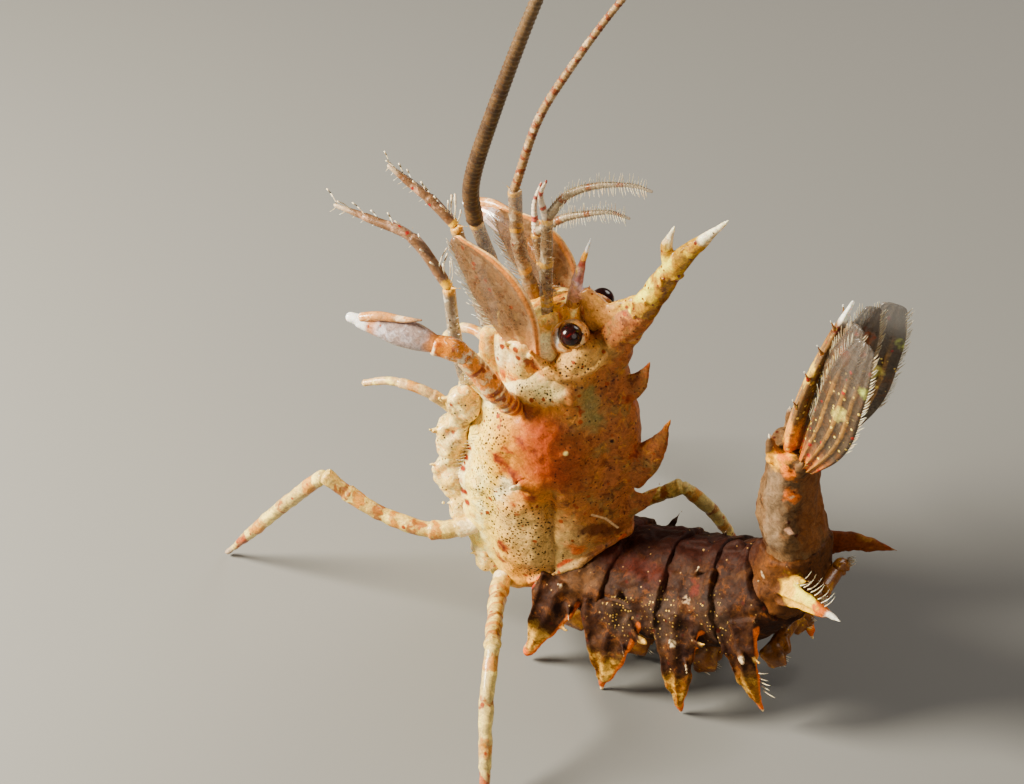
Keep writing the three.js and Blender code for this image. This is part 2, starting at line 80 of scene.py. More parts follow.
# %% [markdown]
# Millimetres in the animal's own frame
# Shell plates a few millimetres long are easier to think of in millimetres, from a point that means
# something on the animal: its plane of symmetry is y = 0, its belly faces -X and its left side -Y.
# The solids' box tells where that frame lies: its low corner is known in both frames.

# %% Millimetres to the frame's metres
MM = 0.001
LOW_CORNER = Vector((-25.24, -17.52, 0.0))
HOME = Vector(solids_box[0]) - LOW_CORNER * MM


def place(point):
    """A point given in the animal's own millimetres, in the frame's metres."""
    return HOME + Vector(point) * MM


LEFT, RIGHT = -1, 1
SIDES = ((LEFT, "left"), (RIGHT, "right"))


def on_side(side, points):
    """Points of the left side, or their mirror images for the right side."""
    return [(x, y if side == LEFT else -y, z) for x, y, z in points]


print("the body's plane stands at y =", round(HOME.y / MM, 2), "mm")

# %% [markdown]
# Camera
# A small animal is best seen from close by with a long lens. We look down at it by 38 degrees,
# from its front left, and stand 167 mm away, so that a foot held towards the lens looks a little
# bigger than one behind. A camera looks along its own -Z, so its rotation comes from that direction.

# %% Camera
AZIMUTH, ELEVATION = math.radians(28.6), math.radians(38.0)
back = Vector((math.sin(AZIMUTH) * math.cos(ELEVATION),
               -math.cos(AZIMUTH) * math.cos(ELEVATION), math.sin(ELEVATION)))
lens = bpy.data.cameras.new("lens")
lens.lens, lens.sensor_width, lens.clip_start, lens.clip_end = 100.0, 36.0, 0.01, 5.0
camera = bpy.data.objects.new("camera", lens)
camera.location = place((54.6, -114.4, 117.3))
camera.rotation_euler = back.to_track_quat("Z", "Y").to_euler()
bpy.context.scene.collection.objects.link(camera)
bpy.context.scene.camera = camera
print("camera height:", round(camera.location.z / MM), "mm")

# %% [markdown]
# Smooth paths
# Limbs, feelers and the body itself are all lofts along a smooth path. A Catmull-Rom curve passes
# through every point that we choose, which a Bezier handle doesn't, so a knee lands where it should.
# The steps are evened out by length, because the chosen points are not evenly spaced.

# %% Smooth paths
FINE_STEPS = 240


def through(values, share):
    """A smooth curve through a list of vectors, at a share of it from 0 to 1."""
    spans = len(values) - 1
    first = min(int(share * spans), spans - 1)
    f = share * spans - first
    b, c = values[first], values[first + 1]
    a = values[first - 1] if first else 2 * b - c
    d = values[first + 2] if first + 2 <= spans else 2 * c - b
    return 0.5 * (2 * b + (c - a) * f + (2 * a - 5 * b + 4 * c - d) * f ** 2
                  + (3 * b - a - 3 * c + d) * f ** 3)


def even_path(points, stations, start=0.0, end=1.0):
    """Evenly spaced points along the smooth path, from one share of its length to another."""
    vectors = [Vector(p) for p in points]
    fine = [through(vectors, i / FINE_STEPS) for i in range(FINE_STEPS + 1)]
    run = [0.0]
    for i in range(FINE_STEPS):
        run.append(run[-1] + (fine[i + 1] - fine[i]).length)
    found = []
    for i in range(stations + 1):
        want = run[-1] * (start + (end - start) * i / stations)
        k = next((j for j in range(1, FINE_STEPS + 1) if run[j] >= want - 1e-9), FINE_STEPS)
        part = (want - run[k - 1]) / max(run[k] - run[k - 1], 1e-9)
        found.append(fine[k - 1].lerp(fine[k], min(max(part, 0.0), 1.0)))
    return found


def square_to(direction, ahead):
    """The part of a direction that stands square to the way ahead."""
    return (direction - ahead * direction.dot(ahead)).normalized()


def size_at(sizes, share):
    """Half width, height above and height below at a share of the path."""
    if callable(sizes):
        return sizes(share)
    full = [Vector((s, s, s)) if isinstance(s, (int, float))
            else Vector((s[0], s[1], s[2] if len(s) > 2 else s[1])) for s in sizes]
    return full[0] if len(full) == 1 else through(full, share)


print("a smooth path:", [round(p.x, 2) for p in even_path([(0, 0, 0), (1, 0, 0), (3, 0, 1)], 4)])

# %% [markdown]
# Lofts
# A loft is a row of rings joined by strips of faces. bmesh makes each ring with create_circle and
# joins two of them with bridge_loops. The ends are closed with ever smaller rings, so that they are
# round as a shell's are. Each vertex also remembers how far along the piece it lies, in millimetres
# and as a share, because colour bands on a leg follow the leg and not the room.

# %% Lofts
DOME_TURNS = [math.radians(turn) for turn in (28, 55, 82)]
ANY_SIDE = Vector((0.31, 0.87, 0.38))


def loft(bm, points, sizes, segments=14, stations=12, across=None, above=None, section=None,
         start=0.0, end=1.0, domes=(0.6, 0.6)):
    """A closed loft along a smooth path, added to the mesh; `domes` is how far each end bulges."""
    share_layer = bm.verts.layers.float.get("share") or bm.verts.layers.float.new("share")
    along_layer = bm.verts.layers.float.get("along") or bm.verts.layers.float.new("along")
    turn_layer = (bm.verts.layers.float_vector.get("turn")
                  or bm.verts.layers.float_vector.new("turn"))
    middles = even_path(points, stations, start, end)
    length = sum((middles[i + 1] - middles[i]).length for i in range(stations))
    side = ANY_SIDE
    last_ring = None

    def lay_ring(middle, scale, share):
        nonlocal last_ring
        verts = bmesh.ops.create_circle(bm, segments=segments, radius=1.0)["verts"]
        edges = list({edge for vert in verts for edge in vert.link_edges})
        for vert in verts:
            x, z = vert.co.x, vert.co.y
            vert[turn_layer] = Vector((x, z, 0.0))
            if section:
                x, z = section(x, z, share)
            high = size.y if z > 0 else size.z
            vert.co = place(middle + side * x * size.x * scale + up * z * high * scale)
            vert[share_layer] = share
            vert[along_layer] = share * length
        if last_ring:
            bmesh.ops.bridge_loops(bm, edges=last_ring + edges)
        last_ring = edges

    for i, middle in enumerate(middles):
        ahead = (middles[min(i + 1, stations)] - middles[max(i - 1, 0)]).normalized()
        side = Vector(across) if across else side
        side = square_to(side, ahead)
        up = Vector(above).normalized() if above else side.cross(ahead)
        share = i / stations
        size = size_at(sizes, share)
        thin = min(size.x, (size.y + size.z) / 2)
        if i == 0:
            for turn in reversed(DOME_TURNS):
                lay_ring(middle + ahead * -math.sin(turn) * thin * domes[0], math.cos(turn), 0.0)
                if turn == DOME_TURNS[-1]:
                    bmesh.ops.contextual_create(bm, geom=last_ring)
        lay_ring(middle, 1.0, share)
        if i == stations:
            for turn in DOME_TURNS:
                lay_ring(middle + ahead * math.sin(turn) * thin * domes[1], math.cos(turn), 1.0)
            bmesh.ops.contextual_create(bm, geom=last_ring)


NEEDLE, FIN = (1, 0.62, 0.4, 0.2), (1, 0.76, 0.5, 0.25)


def thorn(bm, root, tip, radius, bend=(0, 0, 0), thick=None, across=None, segments=10, stations=6,
          taper=NEEDLE):
    """A curved spine with a fine tip; a needle has a flared root, and a fin is a straight wedge."""
    root, tip = Vector(root), Vector(tip)
    middle = root.lerp(tip, 0.5) + Vector(bend)
    flat = (thick or radius) / radius
    sizes = [(radius * part, radius * part * flat) for part in taper]
    sizes.append((0.045, 0.045))
    loft(bm, [root, middle, tip], sizes, segments, stations, across=across, domes=(0.2, 1.0))


def piece(name, bm):
    """The finished mesh as an object at the origin, with its faces pointing outwards."""
    bmesh.ops.recalc_face_normals(bm, faces=bm.faces[:])
    mesh = bpy.data.meshes.new(name)
    bm.to_mesh(mesh)
    bm.free()
    mesh.shade_smooth()
    made = bpy.data.objects.new(name, mesh)
    bpy.context.scene.collection.objects.link(made)
    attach(made, "root")
    return made


def fuse(made, voxel, rounds=4):
    """Melt the joined lofts of a piece into one skin with soft fillets, and keep what is seen."""
    melt = made.modifiers.new("melt", "REMESH")
    melt.mode, melt.voxel_size, melt.adaptivity = "VOXEL", voxel * MM, 0.0
    ease = made.modifiers.new("ease", "SMOOTH")
    ease.factor, ease.iterations = 0.5, rounds
    graph = bpy.context.evaluated_depsgraph_get()
    mesh = bpy.data.meshes.new_from_object(made.evaluated_get(graph), depsgraph=graph)
    made.modifiers.clear()
    made.data = mesh
    mesh.shade_smooth()


print("shapes of thorns: needle", NEEDLE, "and fin", FIN)

# %% [markdown]
# Soft dents and swellings
# A shell plate isn't a plain tube: organs swell it, and muscles pull grooves into it. Sculpting
# would be the tool by hand. In code, each groove or swelling is a line with a radius, and the skin
# near it moves along its own normal, most at the line and not at all two radii away.

# %% Melting, pressing and marking a skin
def own_places(made, fold=True):
    """The vertices in the animal's millimetres, with the right side folded onto the left."""
    flat = np.empty(len(made.data.vertices) * 3)
    made.data.vertices.foreach_get("co", flat)
    places = (flat.reshape(-1, 3) - np.array(HOME)) / MM
    if fold:
        places[:, 1] = -np.abs(places[:, 1])
    return places


def near_line(places, start, end):
    """Share along a line and distance from it, for every place."""
    start, line = np.array(start), np.array(end) - np.array(start)
    share = np.clip((places - start) @ line / max(line @ line, 1e-9), 0.0, 1.0)
    return share, np.linalg.norm(places - start - share[:, None] * line, axis=1)


def press(made, lines):
    """Each line is start, end, radius and height in mm; a height below 0 is a groove."""
    mesh = made.data
    places = own_places(made)
    push = np.zeros(len(places))
    for start, end, radius, height in lines:
        far = near_line(places, start, end)[1] / radius
        push += height * np.exp(-1.5 * far ** 2)
    flat = np.empty(len(places) * 3)
    mesh.vertices.foreach_get("co", flat)
    normals = np.empty(len(places) * 3)
    mesh.vertices.foreach_get("normal", normals)
    moved = flat.reshape(-1, 3) + normals.reshape(-1, 3) * push[:, None] * MM
    mesh.vertices.foreach_set("co", moved.ravel())
    mesh.update()


def roughen(made, size, height, seed=0.0):
    """A little unevenness of the given size, in mm, so that no plate is machine smooth."""
    mesh = made.data
    places = own_places(made, fold=False)
    normals = np.empty(places.size)
    mesh.vertices.foreach_get("normal", normals)
    shift = Vector((seed, 3.1 * seed, 7.7))
    push = np.array([noise.noise(Vector(at) / size + shift) for at in places]) * height
    moved = (places + normals.reshape(-1, 3) * push[:, None]) * MM + np.array(HOME)
    mesh.vertices.foreach_set("co", moved.ravel())
    mesh.update()


def mark_lines(made, name, paths, radius):
    """Store how far along the nearest path a vertex lies, and how near it is, within a radius."""
    places = own_places(made, fold=False)
    values = np.zeros(len(places))
    nearest = np.full(len(places), radius)
    for path in paths:
        spans = len(path) - 1
        for i in range(spans):
            share, far = near_line(places, path[i], path[i + 1])
            closer = far < nearest
            values[closer] = (i + share[closer]) / spans
            nearest[closer] = far[closer]
    for label, stored in ((name, values), (name + " near", 1 - nearest / radius)):
        made.data.attributes.new(label, "FLOAT", "POINT").data.foreach_set("value", stored)


print("sculpting helpers ready")

# %% [markdown]
# Dressing a node
# Each finished piece stands for one or more CAD solids and gets its material. The solids stay in the
# simulation and are only hidden.

# %% Dressing a node
made_triangles = {}


def finish_piece(made, material):
    """Give a piece its material."""
    made.data.materials.clear()
    made.data.materials.append(material)


def dress(made, nodes, material):
    """Let a piece stand for its nodes, and finish it."""
    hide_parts(*nodes)
    finish_piece(made, material)
    made_triangles[made.name] = sum(len(p.vertices) - 2 for p in made.data.polygons)
    print(made.name, "has", made_triangles[made.name], "triangles")


print("ready to dress the nodes")

# %% [markdown]
# Helpers for shader nodes
# A material here is a stack of layers, as a painter of museum casts works: a ground colour, then
# gradients, patches, freckles and bands over it. Small functions add a node and return its output.

# %% Helpers for shader nodes
def feed(tree, socket, value):
    """Link an output to a socket, or set the socket where the value is plain."""
    if isinstance(value, bpy.types.NodeSocket):
        tree.links.new(value, socket)
    elif isinstance(value, (tuple, list, Vector)) and socket.type == "RGBA" and len(value) == 3:
        socket.default_value = (*value, 1.0)
    else:
        socket.default_value = value


def maths(tree, operation, *values):
    """A sum, product or other step of arithmetic."""
    node = tree.nodes.new("ShaderNodeMath")
    node.operation = operation
    for socket, value in zip(node.inputs, values):
        feed(tree, socket, value)
    return node.outputs[0]


def vectors(tree, operation, first, second=None):
    """The same for vectors; some operations give a plain number."""
    node = tree.nodes.new("ShaderNodeVectorMath")
    node.operation = operation
    feed(tree, node.inputs[0], first)
    if second is not None:
        feed(tree, node.inputs["Scale"] if operation == "SCALE" else node.inputs[1], second)
    gives_number = operation in ("DOT_PRODUCT", "LENGTH", "DISTANCE")
    return node.outputs["Value" if gives_number else "Vector"]


def ramp(tree, value, low, high, to_low=0.0, to_high=1.0):
    """A soft step from one value to another."""
    node = tree.nodes.new("ShaderNodeMapRange")
    node.interpolation_type = "SMOOTHSTEP"
    for name, given in (("Value", value), ("From Min", low), ("From Max", high),
                        ("To Min", to_low), ("To Max", to_high)):
        feed(tree, node.inputs[name], given)
    return node.outputs[0]


def noise_of(tree, place, per_mm, detail=2.0, roughness=0.5):
    """A noise texture with so many lumps to the millimetre."""
    node = tree.nodes.new("ShaderNodeTexNoise")
    feed(tree, node.inputs["Vector"], place)
    feed(tree, node.inputs["Scale"], per_mm)
    node.inputs["Detail"].default_value = detail
    node.inputs["Roughness"].default_value = roughness
    return node


def new_group(name, inputs, outputs):
    """A shader node group with named sockets; each is given as kind and name."""
    tree = bpy.data.node_groups.new(name, "ShaderNodeTree")
    kinds = {"number": "NodeSocketFloat", "vector": "NodeSocketVector", "colour": "NodeSocketColor"}
    for in_out, sockets in (("INPUT", inputs), ("OUTPUT", outputs)):
        for kind, label in sockets:
            tree.interface.new_socket(label, in_out=in_out, socket_type=kinds[kind])
    return tree, tree.nodes.new("NodeGroupInput").outputs, tree.nodes.new("NodeGroupOutput").inputs


def use_group(tree, group, **values):
    """Put a group into a material and feed it; an underscore stands for a space in a socket's name."""
    node = tree.nodes.new("ShaderNodeGroup")
    node.node_tree = group
    for name, value in values.items():
        feed(tree, node.inputs[name.replace("_", " ")], value)
    return node.outputs


print("node helpers ready")

# %% [markdown]
# Places on the animal, inside a material
# A marking has a place on the animal, so materials work in the same millimetres as the shapes. The
# group folds the right side onto the left, since a shrimp's markings are nearly the same on both.
# The second place it gives wobbles with a noise, so that patches get the ragged edges of real ones.

# %% Place group
place_group, given, out = new_group(
    "animal place", [], [("vector", "Place"), ("vector", "Wobbly"), ("vector", "Own side")])
coordinates = place_group.nodes.new("ShaderNodeTexCoord").outputs["Object"]
raw = vectors(place_group, "SCALE", vectors(place_group, "SUBTRACT", coordinates, HOME), 1 / MM)
folded = vectors(place_group, "MULTIPLY", vectors(place_group, "ABSOLUTE", raw), (0.0, 1.0, 0.0))
folded = vectors(place_group, "ADD", vectors(place_group, "MULTIPLY", raw, (1.0, 0.0, 1.0)), folded)
wave = noise_of(place_group, raw, 1.9, 3.0).outputs["Color"]
wobble = vectors(place_group, "SCALE", vectors(place_group, "SUBTRACT", wave, (0.5, 0.5, 0.5)), 1.1)
feed(place_group, out["Place"], folded)
feed(place_group, out["Wobbly"], vectors(place_group, "ADD", folded, wobble))
feed(place_group, out["Own side"], vectors(place_group, "ADD", raw, wobble))
print("place group:", len(place_group.nodes), "nodes")

# %% [markdown]
# Patches
# A patch is everything near a short line, which gives round spots, streaks and long saddles with
# one group. The share along the line comes from a dot product, as in a textbook on distances.

# %% Patch group
patch_group, given, out = new_group(
    "patch", [("vector", "Place"), ("vector", "Start"), ("vector", "End"), ("number", "Radius"),
              ("number", "Edge")], [("number", "Mask")])
from_start = vectors(patch_group, "SUBTRACT", given["Place"], given["Start"])
line = vectors(patch_group, "SUBTRACT", given["End"], given["Start"])
line_share = maths(patch_group, "DIVIDE", vectors(patch_group, "DOT_PRODUCT", from_start, line),
                   vectors(patch_group, "DOT_PRODUCT", line, line))
line_share.node.use_clamp = True
on_line = vectors(patch_group, "SCALE", line, line_share)
far = vectors(patch_group, "LENGTH", vectors(patch_group, "SUBTRACT", from_start, on_line))
margin = maths(patch_group, "MULTIPLY", given["Radius"], given["Edge"])
feed(patch_group, out["Mask"], ramp(patch_group, far, maths(patch_group, "ADD", given["Radius"], margin),
                                    maths(patch_group, "SUBTRACT", given["Radius"], margin)))
print("patch group:", len(patch_group.nodes), "nodes")

# %% [markdown]
# Freckles
# The pigment cells of a shrimp show as tiny dots with even gaps between them. A Voronoi texture has
# just that spacing. Its colour output is random for each cell, so some cells are left without a dot
# and the rest differ in size.

# %% Freckle group
freckle_group, given, out = new_group(
    "freckles", [("vector", "Place"), ("number", "Per mm"), ("number", "Size"), ("number", "Share")],
    [("number", "Mask")])
cells = freckle_group.nodes.new("ShaderNodeTexVoronoi")
feed(freckle_group, cells.inputs["Vector"], given["Place"])
feed(freckle_group, cells.inputs["Scale"], given["Per mm"])
chance = freckle_group.nodes.new("ShaderNodeSeparateXYZ")
feed(freckle_group, chance.inputs[0], cells.outputs["Color"])
dot_size = maths(freckle_group, "MULTIPLY", given["Size"],
                 maths(freckle_group, "MULTIPLY_ADD", chance.outputs[1], 0.7, 0.65))
dots = ramp(freckle_group, cells.outputs["Distance"], dot_size,
            maths(freckle_group, "MULTIPLY", dot_size, 0.6))
kept = maths(freckle_group, "LESS_THAN", chance.outputs[0], given["Share"])
feed(freckle_group, out["Mask"], maths(freckle_group, "MULTIPLY", dots, kept))

clouds_group, given, out = new_group(
    "clouds", [("vector", "Place"), ("number", "Per mm"), ("number", "Low"), ("number", "High")],
    [("number", "Mask")])
cloud = noise_of(clouds_group, given["Place"], given["Per mm"], 4.0, 0.6).outputs[0]
feed(clouds_group, out["Mask"], ramp(clouds_group, cloud, given["Low"], given["High"]))
print("freckle and cloud groups made")

# %% [markdown]
# Bands along a limb, and the fine relief
# Bands follow the limb's own length, which the lofts stored. Their edges wander with a noise. The
# relief is the fine leathery grain of the cuticle, which breaks up the highlights of a wet shell.

# %% Band and relief groups
band_group, given, out = new_group(
    "band", [("number", "Share"), ("number", "Middle"), ("number", "Half width"),
             ("vector", "Place"), ("number", "Wander")], [("number", "Mask")])
drift = maths(band_group, "SUBTRACT", noise_of(band_group, given["Place"], 1.7).outputs[0], 0.5)
drift = maths(band_group, "MULTIPLY", drift, given["Wander"])
gap = maths(band_group, "ABSOLUTE", maths(band_group, "ADD", drift, maths(
    band_group, "SUBTRACT", given["Share"], given["Middle"])))
feed(band_group, out["Mask"], ramp(band_group, gap, maths(band_group, "MULTIPLY",
                                                          given["Half width"], 1.35),
                                   maths(band_group, "MULTIPLY", given["Half width"], 0.65)))

relief_group, given, out = new_group(
    "cuticle relief", [("vector", "Place"), ("number", "Fine"), ("number", "Coarse")],
    [("number", "Height")])
fine_grain = noise_of(relief_group, given["Place"], 7.0, 3.0, 0.6).outputs[0]
lumps = noise_of(relief_group, given["Place"], 1.3, 2.0).outputs[0]
feed(relief_group, out["Height"],
     maths(relief_group, "ADD", maths(relief_group, "MULTIPLY", fine_grain, given["Fine"]),
           maths(relief_group, "MULTIPLY", lumps, given["Coarse"])))

grain_group, given, out = new_group("grain", [("vector", "Place")], [("number", "Shade")])
grain = noise_of(grain_group, given["Place"], 4.5, 4.0, 0.7).outputs[0]
feed(grain_group, out["Shade"], ramp(grain_group, grain, 0.3, 0.7, 0.62, 1.3))
print("band, relief and grain groups made")

# %% [markdown]
# A material as a stack of layers
# Shrimp shell lets light in and scatters it, so the Principled shader's subsurface weight is high
# and its red travels furthest. A thin coat gives the wet gloss. Those values are the same all over,
# so they are set on the shader itself, and only colour, roughness, alpha and relief are painted.

# %% Painted material
class Paint:
    """A material painted in layers, from the ground colour up."""

    def __init__(self, name, ground, rough=0.4, soft=0.25, depth=0.45, coat=0.15, relief=(0.5, 0.5),
                 bump=0.4, gloss=0.3):
        self.material = bpy.data.materials.new(name)
        self.material.use_nodes = True
        self.tree = self.material.node_tree
        self.shader = self.tree.nodes["Principled BSDF"]
        inputs = self.shader.inputs
        inputs["Roughness"].default_value = rough
        inputs["Subsurface Weight"].default_value = soft
        inputs["Subsurface Radius"].default_value = (0.8, 0.5, 0.3)
        inputs["Subsurface Scale"].default_value = depth * MM
        inputs["Coat Weight"].default_value = coat
        inputs["Coat Roughness"].default_value = 0.12
        inputs["Specular IOR Level"].default_value = gloss
        inputs["IOR"].default_value = 1.42
        places = use_group(self.tree, place_group)
        self.place, self.wobbly, self.own_side = places["Place"], places["Wobbly"], places["Own side"]
        self.colour = ground
        bumps = self.tree.nodes.new("ShaderNodeBump")
        bumps.inputs["Strength"].default_value = bump
        bumps.inputs["Distance"].default_value = 0.16 * MM
        height = use_group(self.tree, relief_group, Place=self.own_side, Fine=relief[0],
                           Coarse=relief[1])["Height"]
        feed(self.tree, bumps.inputs["Height"], height)
        feed(self.tree, inputs["Normal"], bumps.outputs[0])

    def over(self, colour, mask, strength=1.0, inside=None):
        """Lay a colour over what is there, where the mask is and, if given, inside another mask."""
        if inside is not None:
            mask = maths(self.tree, "MULTIPLY", mask, inside)
        mix = self.tree.nodes.new("ShaderNodeMix")
        mix.data_type = "RGBA"
        if strength != 1.0:
            mask = maths(self.tree, "MULTIPLY", mask, strength)
        feed(self.tree, mix.inputs["Factor"], mask)
        feed(self.tree, mix.inputs[6], self.colour)
        feed(self.tree, mix.inputs[7], colour)
        self.colour = mix.outputs[2]
        return self

    def patch_mask(self, start, end, radius, edge=0.35, one_side=False, ragged=True):
        """Everything within a radius of the line; one_side leaves the other side of the body free."""
        place = self.own_side if one_side else (self.wobbly if ragged else self.place)
        return use_group(self.tree, patch_group, Place=place, Start=start, End=end or start,
                         Radius=radius, Edge=edge)["Mask"]

    def patch(self, colour, start, end, radius, edge=0.35, strength=1.0, one_side=False, ragged=True):
        mask = self.patch_mask(start, end, radius, edge, one_side, ragged)
        return self.over(colour, mask, strength)

    def freckles(self, colour, per_mm, size, share, inside=None, strength=1.0):
        """Tiny dots, of which a share is kept."""
        mask = use_group(self.tree, freckle_group, Place=self.place, Per_mm=per_mm, Size=size,
                         Share=share)["Mask"]
        return self.over(colour, mask, strength, inside)

    def clouds(self, colour, per_mm, low, high, inside=None, strength=1.0):
        """Ragged blotches, where a noise lies above the step from low to high."""
        mask = use_group(self.tree, clouds_group, Place=self.own_side, Per_mm=per_mm, Low=low,
                         High=high)["Mask"]
        return self.over(colour, mask, strength, inside)

    def stored(self, name):
        """A value that was stored on the mesh, such as the share along a limb."""
        node = self.tree.nodes.new("ShaderNodeAttribute")
        node.attribute_name = name
        return node.outputs["Fac"]

    def across(self):
        """The place across a loft, from -1 at one edge to 1 at the other."""
        node = self.tree.nodes.new("ShaderNodeAttribute")
        node.attribute_name = "turn"
        return self.axis(0, node.outputs["Vector"])

    def band(self, colour, value, middle, half_width, wander=0.1, strength=1.0, inside=None):
        mask = use_group(self.tree, band_group, Share=value, Middle=middle, Half_width=half_width,
                         Place=self.place, Wander=wander)["Mask"]
        return self.over(colour, mask, strength, inside)

    def step(self, value, low, high):
        return ramp(self.tree, value, low, high)

    def axis(self, index, of=None):
        """One coordinate of a vector, which is the place in millimetres where none is given."""
        parts = self.tree.nodes.new("ShaderNodeSeparateXYZ")
        feed(self.tree, parts.inputs[0], of or self.wobbly)
        return parts.outputs[index]

    def see_through(self, mask, low, high):
        """Alpha falls from high to low where the mask is."""
        feed(self.tree, self.shader.inputs["Alpha"], ramp(self.tree, mask, 0.0, 1.0, high, low))
        return self

    def done(self):
        """Lay the fine grain over all and hand the material over."""
        shade = use_group(self.tree, grain_group, Place=self.own_side)["Shade"]
        feed(self.tree, self.shader.inputs["Base Color"],
             vectors(self.tree, "SCALE", self.colour, shade))
        return self.material


print("paint box ready")

# %% [markdown]
# Colours
# Colours are easier to judge as the screen shows them, from 0 to 255. Blender's sockets take linear
# light, so one small function turns the first into the second. A wet shell looks richer than a dry
# one, so a second function moves a colour a little away from its grey.

# %% Colours
DARKEST = 0.002


def hue(red, green, blue, richness=1.0):
    """A screen colour in linear light."""
    light = [(part / 255) ** 2.2 for part in (red, green, blue)]
    grey = 0.21 * light[0] + 0.72 * light[1] + 0.07 * light[2]
    return tuple(max(grey + (part - grey) * richness, DARKEST) for part in light)


def wet(red, green, blue):
    """The same colour, as it looks on a wet shell."""
    return hue(red, green, blue, 1.22)


GOLD, SOOT = wet(236, 184, 74), wet(40, 22, 16)
# A white for white spine tips and the head; on the carapace's belly edge and flank the same white is a
# painted highlight.
WHITE_AND_HIGHLIGHT, RUST, DARK_RED = hue(255, 234, 170), hue(150, 66, 10), hue(84, 20, 8)
print("gold in linear light:", [round(part, 2) for part in GOLD])

# %% [markdown]
# The carapace
# The carapace is the big shield over head and breast. On the real animal it is one plate, with a
# crest of three hooked teeth along its back and a few spines on its flanks. We loft the shield,
# add the teeth and spines, and melt them into one skin, so that each tooth grows out of the plate
# with a fillet. Its section is fuller below, where the plate hangs down over the gills.

# %% Shape of the carapace
SHELL_LINE = [(-4.0, 0, 5.3), (-4.9, 0, 9.0), (-5.3, 0, 12.6), (-5.1, 0, 16.0), (-4.9, 0, 19.2)]
SHELL_BACK = (0.82, 0, 0.57)
SHELL_SIZES = [(3.5, 4.7, 4.6), (4.07, 5.9, 5.8), (4.2, 6.5, 6.3), (4.0, 5.5, 5.8), (3.1, 4.0, 5.1)]
CREST_TEETH = [((-1.0, 0, 18.1), (1.05, 0, 21.0), 1.15, 0.5, (0.3, 0, -0.25)),
               ((-0.35, 0, 12.6), (2.4, 0, 17.3), 1.5, 0.62, (0.4, 0, -0.35)),
               ((-0.5, 0, 10.3), (1.75, 0, 11.85), 1.35, 0.5, (0.2, 0, -0.25))]
REAR_RIM = [(-4.6, -3.55, 4.9), (-4.0, -3.55, 5.4), (-2.1, -2.85, 6.75), (-0.7, -1.45, 7.75),
            (0.0, 0, 8.15)]
FLANK_SPINES = [((-4.4, -3.7, 12.6), (-4.9, -5.6, 13.4), 0.55),
                ((-3.9, -2.6, 20.2), (-4.7, -3.6, 22.0), 0.45),
                ((-7.4, -3.2, 17.6), (-8.9, -4.3, 18.9), 0.42)]


def rounded(x, z, power):
    """A point of the circle moved onto a rounder or squarer curve; 2 leaves it on the circle."""
    return (math.copysign(abs(x) ** (2 / power), x), math.copysign(abs(z) ** (2 / power), z))


def shell_section(x, z, share):
    if z < 0:
        return rounded(x, z, 3.3)
    return x * (1 - 0.3 * z ** 2), z + 0.065 * z ** 10


carapace_mesh = bmesh.new()
loft(carapace_mesh, SHELL_LINE, SHELL_SIZES, 64, 40, across=(0, 1, 0), above=SHELL_BACK,
     section=shell_section, domes=(0.35, 0.3))
for root, tip, long, thick, bend in CREST_TEETH:
    thorn(carapace_mesh, root, tip, thick, bend, thick=long, across=(0, 1, 0), segments=20,
          stations=12, taper=FIN)
for side, word in SIDES:
    for root, tip, radius in FLANK_SPINES:
        root, tip = on_side(side, [root, tip])
        thorn(carapace_mesh, root, tip, radius)
    orbit = on_side(side, [(-1.3, -0.8, 21.3), (-1.7, -2.0, 20.6), (-2.9, -2.9, 20.2),
                           (-3.9, -3.0, 20.6)])
    loft(carapace_mesh, orbit, [0.5, 0.22, 0.2, 0.3], 10, 14)
    loft(carapace_mesh, on_side(side, REAR_RIM), [0.2, 0.3, 0.28, 0.26, 0.24], 12, 24)
    loft(carapace_mesh, on_side(side, [(-3.2, -1.5, 18.8), (-2.9, -1.5, 20.4), (-2.5, -1.2, 21.7)]),
         [1.6, 1.35, 0.95], 24, 14)
loft(carapace_mesh, [(-2.6, 0, 17.6), (-1.9, 0, 20.2), (-0.95, 0, 22.2), (0.45, 0, 24.4)],
     [(2.0, 1.6, 1.6), (1.35, 1.35, 1.35), (0.9, 1.15, 1.1), (0.6, 0.84, 0.8)], 28, 20,
     across=(0, 1, 0), domes=(0.5, 0.1))
carapace = piece("carapace_shell", carapace_mesh)
fuse(carapace, 0.093, 5)
print("carapace melted into one skin")

# %% [markdown]
# Swellings of the carapace
# The gills and muscles below swell the plate, and grooves part its regions. Some smaller bumps at
# seeded random places, and two sizes of noise, make it as uneven as a grown shell.

# %% Sculpting the carapace
press(carapace, [
    ((-3.2, -3.9, 12.2), (-3.4, -3.5, 6.2), 0.55, -0.42),
    ((-5.6, -4.1, 10.8), (-5.4, -3.8, 7.0), 1.25, 0.34),
    ((-2.0, -3.0, 10.6), (-2.2, -3.0, 8.0), 0.95, 0.2),
    ((-6.6, -3.8, 14.4), (-6.6, -3.9, 12.2), 1.2, 0.25),
    ((-5.2, -4.0, 13.0), (-3.9, -4.0, 12.6), 0.75, 0.3),
    ((-3.4, -3.8, 16.8), (-2.6, -3.3, 14.6), 1.6, 0.3),
    ((-6.8, -3.1, 16.8), (-5.6, -3.5, 17.0), 0.6, -0.4),
    ((-6.1, -3.0, 18.4), (-4.2, -2.8, 19.6), 0.7, 0.22),
    ((-2.6, -3.0, 19.3), (-1.6, -2.8, 17.6), 0.28, 0.14),
    ((-3.5, -3.2, 18.2), (-1.9, -3.1, 16.8), 0.5, -0.16),
    ((-0.9, -1.9, 19.2), (-0.5, -1.8, 13.0), 0.7, -0.18),
    ((-8.6, -3.0, 14.6), (-9.3, -3.0, 9.6), 0.3, 0.18),
    ((-7.9, -3.6, 14.8), (-8.6, -3.6, 10.0), 0.4, -0.12)])
luck = random.Random(12)
